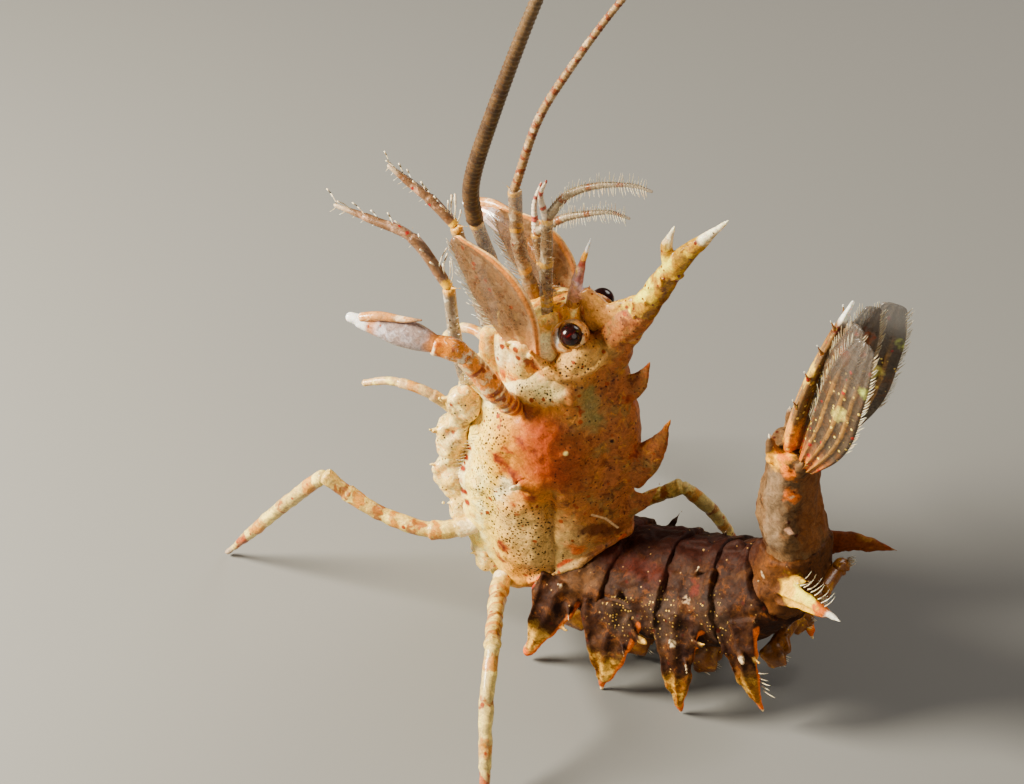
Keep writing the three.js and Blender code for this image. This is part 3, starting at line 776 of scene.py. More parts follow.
bumps = [(luck.uniform(-8.6, -1.4), luck.uniform(-4.2, -2.4), luck.uniform(6.5, 19.5))
         for bump in range(44)]
press(carapace, [(at, at, luck.uniform(0.35, 0.85), luck.uniform(0.08, 0.26)) for at in bumps])
roughen(carapace, 1.6, 0.2)
roughen(carapace, 0.5, 0.06, 3.0)
print("carapace skin:", len(carapace.data.vertices), "vertices")

# %% [markdown]
# Colour of the carapace
# The plate is creamy below and brown towards the crest. An orange-red glow shows through the middle
# of the flank, where the gut and ovary lie. Fine dark freckles cover the gill region, and small
# red-brown spots line its lower edge. Pale clouds and white patches on the belly side and a pale
# band on the front margin are painted highlights, and a brown arch beside the eye is a painted shadow.

# %% Finish of the carapace
paint = Paint("carapace shell", hue(255, 218, 96), rough=0.5, soft=0.2, coat=0.05,
                    relief=(0.8, 0.7), bump=0.5, gloss=0.2)
along_x = paint.axis(0)
for colour, low, high in (
        (hue(248, 200, 62), -8.4, -6.8), (hue(230, 156, 42), -6.8, -5.6), (hue(206, 122, 34), -5.4, -4.2),
        (hue(174, 104, 46), -4.0, -2.4), (hue(160, 92, 46), -2.2, -0.4)):
    paint.over(colour, paint.step(along_x, low, high))
belly_side = paint.step(along_x, -6.0, -8.0)
back_side = paint.step(along_x, -4.6, -2.8)
# Painted highlights: pale clouds broken over the belly side, where the main light falls.
paint.clouds(hue(255, 234, 150), 1.0, 0.45, 0.62, inside=belly_side, strength=0.85)
paint.clouds(hue(234, 176, 60), 1.3, 0.54, 0.68, inside=belly_side, strength=0.55)
paint.clouds(wet(120, 104, 66), 0.9, 0.48, 0.66, inside=back_side, strength=0.6)
paint.clouds(wet(72, 32, 10), 1.5, 0.5, 0.7, inside=back_side, strength=0.7)
paint.clouds(wet(200, 140, 80), 2.2, 0.54, 0.72, inside=back_side, strength=0.6)
for colour, start, end, radius, edge, strength in (
        (hue(204, 168, 96), (-5.0, 4.2, 9.6), (-3.6, 3.6, 7.4), 1.6, 0.7, 0.8),
        (wet(136, 126, 84), (-2.0, 2.1, 19.0), (-1.4, 2.0, 17.2), 0.6, 0.9, 0.85),
        (hue(212, 152, 14), (-5.8, 3.9, 17.6), (-5.9, 4.1, 14.2), 1.5, 0.9, 0.85),
        (hue(184, 110, 0), (-4.9, 3.8, 17.3), (-4.7, 4.0, 13.6), 1.4, 0.9, 0.95),
        (hue(160, 72, 0), (-4.2, 3.8, 16.8), (-3.8, 3.9, 14.0), 1.1, 0.9, 0.95),
        (hue(150, 56, 0), (-3.5, 3.7, 16.6), (-3.1, 3.6, 14.0), 0.9, 0.9, 0.85),
        (hue(136, 58, 12), (-2.1, 3.2, 16.0), (-1.8, 3.2, 13.0), 0.8, 0.9, 0.7),
        (hue(200, 158, 90), (-2.3, 3.1, 9.2), (-2.3, 3.0, 6.6), 0.9, 1.0, 0.75),
        (wet(112, 78, 38), (-3.3, 3.5, 11.2), (-3.3, 3.5, 7.4), 0.25, 1.0, 0.5),
        # Painted highlights: white patches along the belly edge and on the flank.
        (WHITE_AND_HIGHLIGHT, (-8.0, 3.2, 17.3), (-6.4, 3.4, 18.6), 0.75, 0.5, 0.9),
        (WHITE_AND_HIGHLIGHT, (-9.1, 3.0, 13.0), (-9.5, 3.3, 9.8), 0.6, 0.6, 0.85),
        (WHITE_AND_HIGHLIGHT, (-6.2, 4.2, 11.6), (-5.6, 4.3, 12.6), 0.5, 0.6, 0.8),
        # Painted highlight: a pale band along the lower front margin.
        (hue(255, 228, 146), (-6.0, 3.3, 19.3), (-3.7, 3.2, 19.3), 0.75, 0.7, 0.85),
        (hue(116, 60, 22), (1.5, 0.4, 16.2), (3.0, 0, 17.6), 1.0, 0.9, 0.7),
        # Painted shadow: a brown arch under the front ridge beside the eye.
        (wet(176, 104, 46), (-3.8, 3.4, 20.6), (-4.9, 2.8, 20.2), 0.2, 0.7, 0.7),
        (hue(222, 168, 84), (-3.6, 2.9, 20.9), (-1.6, 1.9, 21.4), 0.9, 0.8, 0.8)):
    paint.patch(colour, start, end, radius, edge, strength)
print("ground colours of the carapace laid")

# %% [markdown]
# Freckles and spots of the carapace
# The fine freckles keep to a few regions, which are joined into one mask by taking the larger of two
# masks at a time. A rust spot has a darker core, so each one is two patches.

# %% Freckles and spots of the carapace
freckled = paint.patch_mask((-7.0, 3.7, 16.0), (-7.1, 4.1, 12.6), 1.2, 0.3)
for start, end, radius in (
        ((-6.9, 4.1, 11.4), (-5.6, 4.3, 9.0), 1.5), ((-5.0, 4.2, 8.4), (-4.4, 4.2, 6.2), 1.5),
        ((-4.3, 4.2, 10.6), (-4.0, 4.0, 9.4), 1.0), ((-5.3, 3.2, 19.2), (-3.9, 3.2, 18.9), 0.6),
        ((-3.8, 2.9, 20.6), (-2.2, 2.3, 21.0), 0.6)):
    freckled = maths(paint.tree, "MAXIMUM", freckled, paint.patch_mask(start, end, radius, 0.3))
paint.freckles(wet(48, 30, 16), 5.2, 0.38, 1.0, inside=freckled)
paint.freckles(wet(44, 18, 6), 4.4, 0.3, 0.4, inside=back_side, strength=0.8)
paint.freckles(RUST, 1.4, 0.22, 0.5)
for x, y, z in (
        (-8.3, 2.9, 14.9), (-8.7, 3.0, 14.1), (-9.0, 3.1, 13.2), (-9.2, 3.2, 12.4), (-9.3, 3.3, 11.6),
        (-9.3, 3.4, 10.8), (-9.1, 3.5, 10.1), (-8.8, 3.7, 9.5), (-8.3, 3.8, 8.9)):
    edge_spot = (x + 0.25, y + 0.15, z + 0.12)
    paint.patch(hue(136, 44, 8), (x, y, z), edge_spot, 0.2, 0.5, ragged=False)
for start, end, radius in (
        ((-5.1, 4.0, 15.7), (-4.8, 4.1, 15.4), 0.36), ((-4.1, 4.1, 15.3), (-3.9, 4.1, 15.0), 0.3),
        ((-6.4, 4.3, 14.2), (-5.8, 4.3, 13.7), 0.34), ((-5.5, 4.4, 13.6), (-5.2, 4.4, 13.2), 0.36),
        ((-5.9, 4.3, 14.9), (-5.5, 4.3, 14.8), 0.24), ((-4.7, 4.3, 12.8), (-4.3, 4.3, 12.2), 0.5),
        ((-5.2, 4.3, 11.2), (-5.1, 4.3, 10.8), 0.28), ((-6.2, 4.3, 7.8), (-6.0, 4.2, 7.4), 0.34),
        ((-6.5, 3.8, 6.4), (-6.2, 3.8, 6.2), 0.3), ((-2.86, 2.8, 19.2), (-2.0, 2.5, 17.8), 0.17),
        ((-5.1, 3.5, 17.8), (-4.9, 3.5, 17.6), 0.34), ((-6.6, 3.7, 16.4), (-6.7, 3.8, 16.0), 0.22),
        ((-0.1, 0.4, 18.1), (0.1, 0.3, 17.6), 0.26), ((0.4, 0.4, 14.8), (0.4, 0.4, 14.2), 0.24)):
    paint.patch(RUST, start, end, radius, 0.55)
    paint.patch(hue(92, 32, 6), start, end, radius * 0.45, 0.8, 0.8)
for colour, start, end, radius, strength in (
        (wet(236, 150, 60), (-4.7, 4.3, 12.7), (-4.4, 4.4, 12.4), 0.22, 0.9),
        (wet(255, 226, 150), (-2.4, 3.5, 15.5), None, 0.14, 1.0),
        (SOOT, (-0.5, 1.5, 15.7), None, 0.12, 1.0),
        (WHITE_AND_HIGHLIGHT, (-4.8, 5.3, 13.3), (-4.9, 5.7, 13.5), 0.5, 0.95),
        (hue(84, 40, 14), (-1.5, 2.5, 9.5), (-0.2, 1.0, 8.8), 0.45, 0.8),
        (wet(206, 104, 34), (-2.2, 3.0, 8.4), (-1.9, 2.8, 7.9), 0.4, 0.8),
        (wet(190, 84, 20), (-4.0, 3.7, 5.5), (-2.5, 3.1, 7.0), 0.13, 0.9),
        (wet(190, 84, 20), (-2.5, 3.1, 7.0), (0.0, 0.5, 8.1), 0.13, 0.9),
        (wet(226, 190, 146), (-1.25, 2.3, 10.5), (-0.7, 1.6, 9.9), 0.07, 0.8),
        (wet(226, 190, 146), (-0.7, 1.6, 9.9), (-0.25, 0.9, 8.9), 0.07, 0.8),
        (wet(190, 120, 60), (2.4, 0, 17.3), (2.1, 0, 16.8), 0.24, 0.6),
        (wet(190, 120, 60), (1.05, 0, 21.0), None, 0.25, 0.6)):
    paint.patch(colour, start, end, radius, 0.5, strength, ragged=radius > 0.15)
dress(carapace, ["carapace"], paint.done())

# %% [markdown]
# The front of the head
# Below the eyes the head ends in a blunt block that carries all feelers. Its lumps are the first
# joints of the antennae, one at the root of each scale.

# %% Head block
head_mesh = bmesh.new()
loft(head_mesh, [(-5.4, 0, 18.4), (-5.8, 0, 20.4), (-6.0, 0, 21.9)],
     [(2.9, 3.2, 3.4), (2.8, 3.0, 3.2), (2.1, 2.2, 2.3)], 40, 14, across=(0, 1, 0),
     above=SHELL_BACK, domes=(0.3, 0.25))
for side, word in SIDES:
    for start, end, radius in (((-5.6, -2.2, 19.6), (-5.8, -2.4, 21.5), 0.95),
                               ((-6.9, -1.7, 19.4), (-7.1, -1.8, 21.0), 0.9),
                               ((-4.6, -1.2, 20.6), (-4.8, -0.9, 22.0), 0.75),
                               ((-8.3, -1.2, 17.8), (-8.6, -1.1, 20.2), 0.8)):
        loft(head_mesh, on_side(side, [start, end]), [radius, radius * 0.85], 16, 6)
    for root, tip in (((-5.0, -2.9, 21.0), (-4.6, -3.5, 22.1)),
                      ((-6.4, -2.7, 20.8), (-6.5, -3.3, 21.9))):
        thorn(head_mesh, *on_side(side, [root, tip]), 0.26)
head = piece("head_block", head_mesh)
fuse(head, 0.09, 4)
roughen(head, 0.8, 0.1)
paint = Paint("head flesh", wet(214, 150, 76), soft=0.3)
paint.clouds(hue(255, 222, 122), 1.0, 0.42, 0.62, strength=0.85)
paint.clouds(wet(176, 92, 40), 1.2, 0.53, 0.66, strength=0.85)
paint.patch(WHITE_AND_HIGHLIGHT, (-7.7, 2.3, 19.9), (-4.7, 2.3, 21.4), 0.8, 0.6, 0.85)
paint.patch(RUST, (-5.2, 2.9, 20.6), (-4.8, 2.7, 20.2), 0.3, 0.5, 0.9)
paint.freckles(RUST, 1.5, 0.3, 0.6)
paint.freckles(SOOT, 3.8, 0.24, 0.4)
dress(head, ["head_base"], paint.done())
print("carapace and head done")

# %% [markdown]
# The rostrum
# The horned shrimp has a long toothed blade between its eyes. It forks near its end into a short
# hook and a long point, and a thin plate with one upright horn stands at its root. All of it is one
# growth, so the lofts are melted together as for the carapace, with a finer voxel for the tips.

# %% Rostrum
rostrum_mesh = bmesh.new()
BEAM = [(-1.9, 0, 20.2), (-0.5, 0, 22.6), (1.0, 0, 25.4), (2.5, 0, 28.3), (3.7, 0, 29.9),
        (5.25, 0, 31.85)]


def beam_section(x, z, share):
    """A blade with a sharp back and small steps along it."""
    return x * (1 - 0.35 * z * z) if z > 0 else x, z * (1 + 0.02 * math.sin(share * 40))


loft(rostrum_mesh, BEAM, [(0.75, 1.0), (0.66, 0.9), (0.56, 0.78), (0.46, 0.68), (0.32, 0.42),
                          (0.06, 0.07)], 24, 40, across=(0, 1, 0), section=beam_section,
     domes=(0.3, 1.0))
loft(rostrum_mesh, [(2.3, 0, 27.2), (1.75, 0, 28.9), (2.15, 0, 30.45)],
     [(0.42, 0.6), (0.26, 0.38), (0.06, 0.07)], 16, 14, across=(0, 1, 0), domes=(0.3, 1.0))
loft(rostrum_mesh, [(-1.0, 0, 22.3), (-2.3, 0, 23.3), (-3.2, 0, 24.3)],
     [(0.34, 1.2), (0.3, 1.0), (0.3, 0.55)], 16, 12, across=(0, 1, 0))
loft(rostrum_mesh, [(-2.8, 0, 22.6), (-1.2, 0, 23.2), (0.3, 0, 24.8)],
     [(0.36, 0.9), (0.4, 0.95), (0.36, 0.5)], 16, 12, across=(0, 1, 0))
thorn(rostrum_mesh, (-3.9, 0, 23.2), (-2.85, 0, 28.0), 0.44, (-0.12, 0, 0), segments=14,
      taper=(1, 0.85, 0.62, 0.34))
for share in (0.3, 0.42, 0.54):
    root = even_path(BEAM, 20)[round(share * 20)]
    for side in (LEFT, RIGHT):
        thorn(rostrum_mesh, root + Vector((0, side * 0.4, 0)), root + Vector((0.1, side * 0.85, 0.7)),
              0.2, segments=8)
rostrum = piece("rostrum_blade", rostrum_mesh)
fuse(rostrum, 0.055, 3)
roughen(rostrum, 0.6, 0.05)
print("rostrum skin:", len(rostrum.data.vertices), "vertices")

# %% [markdown]
# Colour of the rostrum
# The blade is golden with brown patches, and its tips are white. Bright yellow streaks along its
# sides are painted highlights. The horn at its root is banded, so its bands are patches at shares of
# the line from its root to its tip.

# %% Finish of the rostrum
paint = Paint("golden rostrum", hue(178, 126, 6), rough=0.26, coat=0.45, bump=0.25)
paint.clouds(hue(230, 188, 22), 1.1, 0.42, 0.64, strength=0.9)
paint.clouds(hue(92, 50, 10), 1.3, 0.47, 0.66, strength=0.85)
paint.patch(hue(108, 60, 14), (0.2, 0, 22.6), (3.6, 0, 28.4), 0.5, 0.8, 0.75)
paint.freckles(hue(120, 56, 10), 1.7, 0.26, 0.4)
# Painted highlights: bright yellow streaks along the blade's sides.
for start, end, radius in (((0.2, 0.4, 25.3), (0.9, 0.4, 26.4), 0.3),
                           ((1.4, 0.4, 27.4), (1.9, 0.4, 28.2), 0.26),
                           ((-0.8, 0.5, 23.4), (-0.3, 0.5, 24.2), 0.22)):
    paint.patch(hue(255, 242, 66), start, end, radius, 0.9, 0.8)
paint.patch(wet(92, 74, 40), (2.6, 0, 28.8), None, 0.45, 0.8, 0.8)
paint.patch(wet(255, 246, 214), (3.9, 0.1, 30.4), (5.2, 0.1, 31.9), 0.36, 0.9, 0.95)
paint.patch(wet(246, 232, 200), (1.9, 0, 29.6), (2.2, 0, 30.5), 0.34, 0.9)
paint.patch(hue(186, 124, 62), (-3.3, 0, 24.0), (-0.9, 0, 22.0), 1.5, 0.5, 0.9)
paint.freckles(wet(96, 40, 14), 3.4, 0.28, 0.4)
horn_root, horn_tip = Vector((-3.7, 0, 24.0)), Vector((-2.85, 0, 28.0))
for low, high, colour in ((0.0, 0.2, wet(206, 150, 130)), (0.24, 0.5, wet(222, 206, 214)),
                          (0.3, 0.34, hue(150, 56, 10)), (0.46, 0.5, hue(160, 70, 16)),
                          (0.56, 0.66, hue(150, 50, 8)), (0.7, 0.78, hue(230, 160, 40)),
                          (0.86, 1.0, wet(206, 214, 220))):
    paint.patch(colour, horn_root.lerp(horn_tip, low), horn_root.lerp(horn_tip, high), 0.4,
                        0.5, 0.85)
dress(rostrum, ["rostrum"], paint.done())

# %% [markdown]
# The eyes
# A shrimp's eye is a dark dome of many lenses on a short stalk. The dome is a sphere, and the stalk
# ends in a pale cup around it, whose rim carries a painted highlight, a bright white crescent. The
# dome is nearly black with some deep red, and its gloss does the rest.

# %% Eyes and eyestalks
EYE = Vector((-3.0, -1.9, 22.6))
EYE_RADIUS = 0.68
LOOK = Vector((0.1, -0.85, 0.5)).normalized()
paint = Paint("eye lens", wet(30, 8, 8), rough=0.2, soft=0.0, coat=0.25, relief=(0.1, 0.0),
                  bump=0.05)
paint.clouds(wet(92, 14, 12), 0.9, 0.5, 0.7, strength=0.8)
paint.freckles(wet(70, 20, 16), 7.0, 0.35, 1.0, strength=0.5)
eye_material = paint.done()
paint = Paint("eyestalk", wet(200, 138, 84), rough=0.3, soft=0.22, coat=0.3)
paint.clouds(wet(236, 206, 160), 1.3, 0.47, 0.62, strength=0.7)
paint.clouds(wet(150, 76, 32), 1.6, 0.53, 0.66, strength=0.8)
# Painted highlight: a white crescent on the cup's rim.
paint.patch(wet(255, 252, 244), (-3.85, 2.3, 22.2), (-3.8, 2.2, 22.9), 0.3, 0.6, 0.95)
paint.freckles(SOOT, 3.6, 0.28, 0.7)
paint.freckles(RUST, 1.6, 0.24, 0.5)
cup_material = paint.done()
for side, word in SIDES:
    centre, look = (Vector(on_side(side, [v])[0]) for v in (EYE, LOOK))
    eye_mesh = bmesh.new()
    bmesh.ops.create_uvsphere(eye_mesh, u_segments=40, v_segments=24, radius=EYE_RADIUS * MM)
    bmesh.ops.translate(eye_mesh, verts=eye_mesh.verts, vec=place(centre))
    eye = piece(f"eye_lens_{word}", eye_mesh)
    dress(eye, [f"eye_{word}"], eye_material)
    stalk_mesh = bmesh.new()
    root = centre + Vector((-1.2, -side * 1.3, -1.9))
    loft(stalk_mesh, [root, centre + Vector((-0.5, -side * 0.6, -0.8)), centre - look * 0.5,
                      centre - look * 0.06],
         [0.75, 0.95, 0.98, 0.76], 32, 20, domes=(0.4, 0.12))
    stalk = piece(f"eyestalk_cup_{word}", stalk_mesh)
    dress(stalk, [f"eyestalk_{word}"], cup_material)

# %% [markdown]
# Segmented limbs
# Legs and feeler stalks are tubes in a row. Each tube is slim where it joins the last one and widest
# at its far end, which is what lets a real leg fold. A smaller tube shows between two segments, the
# soft skin of the joint.

# %% Segments
JOINT_GAP = 0.012


def segments_along(bm, path, radii, cuts, sides=14, spines=()):
    """Hard segments between the cuts; a spine is share of the path, direction, length, radius."""
    for first, last in zip(cuts[:-1], cuts[1:]):
        part = last - first
        sizes = []
        for t, shape in ((0.0, 0.84), (0.2, 0.94), (0.55, 0.94), (0.85, 1.0), (1.0, 1.05)):
            size = size_at(radii, first + part * t)
            sizes.append((size.x * shape, size.y * shape, size.z * shape))
        loft(bm, path, sizes, sides, max(8, int(40 * part)), start=first, end=last - JOINT_GAP,
             domes=(0.35, 0.4))
    for share, direction, length, radius in spines:
        at = even_path(path, 40)[round(share * 40)]
        thorn(bm, at, at + Vector(direction).normalized() * length, radius, segments=8)


def melt_limb(made, path, voxel):
    """Melt a limb into one skin and give it its share along the path again."""
    fuse(made, voxel, 2)
    mark_lines(made, "share", [path], 3.0)


def limb(name, node, material, path, radii, cuts, voxel=0.06, core=None, sides=14, spines=()):
    """A whole limb: its segments, the soft core inside them and its finish."""
    bm = bmesh.new()
    segments_along(bm, path, radii, cuts, sides, spines)
    if core:
        loft(bm, path, core, 8, 20)
    made = piece(name, bm)
    melt_limb(made, path, voxel)
    dress(made, [node], material)


def limb_paint(name, ground, bands, spots=0.35, tip=None):
    """Cream shell with bands that are broken here and there; each is middle, half width, colour."""
    paint = Paint(name, ground, coat=0.3)
    share = paint.stored("share")
    paint.clouds(hue(250, 222, 116), 1.2, 0.47, 0.62, strength=0.7)
    paint.clouds(wet(150, 112, 72), 1.3, 0.53, 0.68, strength=0.6)
    for middle, half, colour in bands:
        paint.band(colour, share, middle, half, 0.2, 0.85)
    paint.clouds(ground, 1.6, 0.52, 0.64, strength=0.5)
    paint.freckles(RUST, 1.8, 0.24, spots)
    if tip:
        paint.over(tip, paint.step(share, 0.86, 0.97))
    return paint.done()


print("limb helpers ready")

# %% [markdown]
# The walking legs
# The two hind pairs of legs carry the animal. They are long, thin and stiff, and end in a plain
# claw. Irregular orange-brown bands cross them, strongest near the foot. The third pair is thin,
# and held forwards along the body without touching the ground.

# %% Walking legs
LEGS = {
    "leg_4_upper_left": ([(-8.0, -3.4, 7.9), (-10.4, -4.6, 7.3), (-13.0, -5.1, 7.5),
                          (-15.0, -5.4, 8.2), (-17.3, -5.8, 9.7)], (0.0, 0.14, 0.3, 0.84, 1.0)),
    "leg_4_lower_left": ([(-17.35, -5.8, 9.6), (-20.1, -5.9, 6.4), (-22.6, -5.8, 3.2),
                          (-25.0, -5.6, 0.12)], (0.0, 0.76, 1.0)),
    "leg_5_upper_left": ([(-6.6, -3.2, 4.4), (-5.8, -5.4, 4.5), (-4.4, -8.3, 5.5),
                          (-3.1, -10.9, 6.4)], (0.0, 0.2, 0.84, 1.0)),
    "leg_5_lower_left": ([(-3.02, -11.0, 6.35), (-2.1, -13.4, 4.6), (-1.1, -15.4, 2.2),
                          (-0.2, -17.3, 0.12)], (0.0, 0.74, 1.0)),
    "leg_4_upper_right": ([(-8.0, 3.4, 8.4), (-9.0, 5.4, 7.8), (-10.2, 7.6, 7.8),
                           (-11.4, 9.6, 8.6)], (0.0, 0.2, 0.84, 1.0)),
    "leg_4_lower_right": ([(-11.45, 9.65, 8.5), (-12.6, 10.9, 5.6), (-13.2, 12.2, 2.8),
                           (-13.8, 13.4, 0.12)], (0.0, 0.76, 1.0)),
    "leg_5_upper_right": ([(-6.2, 3.2, 4.3), (-4.6, 4.6, 4.2), (-2.2, 6.0, 5.0), (0.1, 7.1, 6.3)],
                          (0.0, 0.2, 0.84, 1.0)),
    "leg_5_lower_right": ([(0.2, 7.15, 6.25), (1.6, 8.2, 4.3), (2.3, 9.2, 2.2), (2.9, 10.1, 0.12)],
                          (0.0, 0.74, 1.0)),
}
UPPER_RADII, LOWER_RADII = [0.62, 0.57, 0.47, 0.5], [0.5, 0.46, 0.4, 0.16]
BAND, AMBER = hue(146, 70, 10), hue(190, 116, 28)
upper_leg = limb_paint("leg upper half", hue(208, 172, 86),
                       [(0.05, 0.05, wet(246, 224, 180)), (0.24, 0.03, AMBER), (0.36, 0.03, BAND),
                        (0.5, 0.02, AMBER), (0.62, 0.035, BAND), (0.78, 0.03, AMBER),
                        (0.88, 0.03, BAND)])
lower_leg = limb_paint("leg lower half", hue(200, 172, 98),
                       [(0.1, 0.04, AMBER), (0.34, 0.02, BAND), (0.6, 0.05, AMBER),
                        (0.82, 0.05, hue(156, 52, 6))],
                       tip=wet(170, 150, 130))
KNEE_SPINES = [(0.95, (0.1, -0.2, 1.0), 0.95, 0.24), (0.83, (-0.3, 0.1, 1.0), 0.7, 0.2)]
for name, (path, cuts) in LEGS.items():
    is_upper = "upper" in name
    radii = UPPER_RADII if is_upper else LOWER_RADII
    leg_mesh = bmesh.new()
    segments_along(leg_mesh, path, radii, cuts, spines=KNEE_SPINES if is_upper else [])
    loft(leg_mesh, path, [r * 0.72 for r in radii], 10, 24, end=0.9)
    leg = piece(name + "_shell", leg_mesh)
    melt_limb(leg, path, 0.07)
    roughen(leg, 0.6, 0.07, 2.0)
    dress(leg, [name], upper_leg if is_upper else lower_leg)

SLENDER_LEGS = {"left": [(-9.8, -3.0, 15.4), (-11.2, -3.8, 16.8), (-13.4, -4.1, 17.0),
                         (-15.2, -4.4, 16.4)],
                "right": [(-10.4, 2.9, 14.0), (-11.8, 3.8, 15.6), (-13.7, 4.2, 15.3),
                          (-15.2, 4.4, 13.6)]}
slender_leg = limb_paint("slender leg", wet(206, 172, 128), [(0.45, 0.05, AMBER)], spots=0.2)
for word, path in SLENDER_LEGS.items():
    limb(f"leg_3_{word}_shell", f"leg_3_{word}", slender_leg, path, [0.38, 0.32, 0.2],
         (0.0, 0.3, 0.62, 0.88, 1.0), core=[0.26, 0.22, 0.12], sides=12)

# %% [markdown]
# Mouth legs
# The third maxillipeds are held out in front of the head like two more feelers. Their lower half is
# clear as glass with a few freckles. The upper half is orange-brown and bears long bristles with
# pale clubbed ends, which come later with the other bristles.

# %% Mouth legs
MAXILLIPEDS = {
    "left": ([(-9.3, -2.6, 17.4), (-9.8, -3.0, 20.8), (-10.1, -3.1, 24.1)],
             [(-10.12, -3.1, 24.2), (-12.3, -3.1, 26.7), (-14.8, -3.2, 27.2), (-17.3, -3.3, 27.5)]),
    "right": ([(-10.3, 2.2, 17.0), (-11.3, 1.7, 21.2), (-12.3, 1.6, 24.7)],
              [(-12.35, 1.6, 24.8), (-13.9, 1.6, 26.0), (-15.2, 1.6, 26.7), (-16.7, 1.6, 27.5)]),
}
paint = Paint("clear limb", wet(128, 112, 92), rough=0.24, coat=0.4)
paint.clouds(wet(206, 200, 186), 1.1, 0.5, 0.68, strength=0.7)
paint.freckles(wet(56, 36, 26), 2.8, 0.26, 0.5)
paint.freckles(wet(230, 214, 180), 2.2, 0.2, 0.35)
clear_ends = paint.stored("share")
paint.over(wet(216, 158, 66), paint.step(clear_ends, 0.93, 0.99), 0.8)
paint.see_through(paint.step(clear_ends, 0.85, 0.2), 0.6, 0.92)
clear_limb_material = paint.done()
paint = Paint("orange brown limb", hue(112, 80, 54))
paint.clouds(wet(186, 148, 124), 1.2, 0.5, 0.68, strength=0.6)
paint.clouds(hue(92, 54, 24), 1.3, 0.5, 0.66, strength=0.7)
brown_share = paint.stored("share")
paint.band(GOLD, brown_share, 0.01, 0.03, 0.04, 0.85)
paint.freckles(wet(130, 40, 16), 1.8, 0.26, 0.5)
paint.over(wet(176, 156, 132), paint.step(brown_share, 0.8, 0.97))
brown_limb_material = paint.done()
for word, (lower, upper) in MAXILLIPEDS.items():
    limb(f"maxilliped_{word}_lower_shell", f"maxilliped_lower_{word}", clear_limb_material,
         lower, [0.48, 0.42, 0.36], (0.0, 0.38, 1.0),
         spines=[(1.0, (0.9, -0.3, 0.5), 1.1, 0.16), (1.0, (0.5, -0.2, 0.9), 0.7, 0.14)])
    limb(f"maxilliped_{word}_upper_shell", f"maxilliped_upper_{word}", brown_limb_material,
         upper, [0.36, 0.34, 0.28, 0.14], (0.0, 0.42, 0.78, 1.0), core=[0.26, 0.24, 0.2, 0.1],
         spines=[(0.42, (0.2, 0.2, 1.0), 0.6, 0.12), (0.6, (0.3, 0.0, 1.0), 0.5, 0.12)])

# %% [markdown]
# The claws
# Each claw is a flattened hand whose finger folds across its end, as on a mantis. The arm is
# orange with dark red bands, and the hand is clear and pearly with a white tip. The finger is a
# separate piece, as on the animal.

# %% Paths and colours of the claws
CLAW = {
    "merus": [(-5.6, -3.4, 17.4), (-6.1, -4.5, 18.9), (-7.0, -5.0, 20.5), (-7.7, -5.5, 21.7)],
    "carpus": [(-7.6, -5.4, 21.7), (-8.3, -5.85, 22.3), (-9.2, -6.3, 22.6)],
    "palm": [(-9.1, -6.3, 22.65), (-10.5, -6.6, 23.0), (-12.0, -6.9, 23.2), (-13.4, -7.2, 23.3)],
    "finger": [(-13.3, -7.2, 23.6), (-12.2, -7.0, 23.95), (-11.0, -6.75, 24.0), (-9.9, -6.55, 24.2)],
}
PALM_ACROSS = (0.1, 0.5, 0.86)
ARM_BANDS = (0.1, 0.19, 0.28, 0.37, 0.46, 0.8)
paint = Paint("claw arm", wet(224, 136, 62), rough=0.3, coat=0.3)
arm_share = paint.stored("share")
paint.clouds(wet(255, 228, 176), 1.1, 0.43, 0.6, strength=0.9)
for middle in ARM_BANDS:
    paint.band(wet(112, 28, 6), arm_share, middle, 0.028, 0.06, 0.8)
paint.clouds(wet(232, 146, 70), 1.7, 0.53, 0.62, strength=0.7)
paint.freckles(RUST, 1.6, 0.3, 0.6)
arm_material = paint.done()
paint = Paint("claw wrist", wet(222, 140, 74), rough=0.28, coat=0.4)
paint.clouds(hue(176, 78, 16), 1.1, 0.52, 0.64, strength=0.85)
# Painted highlights: white clouds over the orange wrist.
paint.clouds(wet(255, 238, 206), 1.3, 0.5, 0.62, strength=0.85)
wrist_material = paint.done()
paint = Paint("pearly hand", wet(150, 132, 126), rough=0.18, soft=0.3, coat=0.6, bump=0.12)
hand_share = paint.stored("share")
paint.clouds(wet(222, 216, 222), 0.8, 0.47, 0.66, strength=0.7)
paint.clouds(wet(112, 88, 84), 1.0, 0.52, 0.7, strength=0.6)
paint.over(wet(132, 102, 84), paint.step(hand_share, 0.4, 0.1), 0.5)
paint.over(wet(206, 132, 78), paint.step(hand_share, 0.2, 0.02), 0.85)
paint.over(wet(214, 146, 100), paint.step(hand_share, 0.7, 0.82), 0.6)
paint.freckles(wet(150, 84, 56), 1.4, 0.2, 0.4)
paint.over(wet(255, 252, 248), paint.step(hand_share, 0.86, 0.95), 0.95)
hand_material = paint.done()
paint = Paint("claw finger", wet(190, 136, 92), rough=0.22, coat=0.5, bump=0.15)
paint.clouds(wet(240, 214, 184), 1.2, 0.48, 0.64, strength=0.8)
paint.over(wet(110, 84, 66), paint.step(paint.stored("share"), 0.8, 0.95), 0.85)
finger_material = paint.done()
print("claw colours mixed")

# %% [markdown]
# Shape of the claws
# The same four paths give both claws. The right one is held a little lower and closer to the body,
# so its points are moved a little as well as mirrored.

# %% Shape of the claws
def claw_points(side, points):
    """The right claw is held a little lower and closer to the body."""
    if side == LEFT:
        return points
    return [(x - 0.5, -y * 0.95, z - 0.8) for x, y, z in points]


def hand_section(x, z, share):
    """A palm that is fullest along its lower edge."""
    return rounded(x, z * (1 - 0.25 * max(0.0, x)), 2.2)


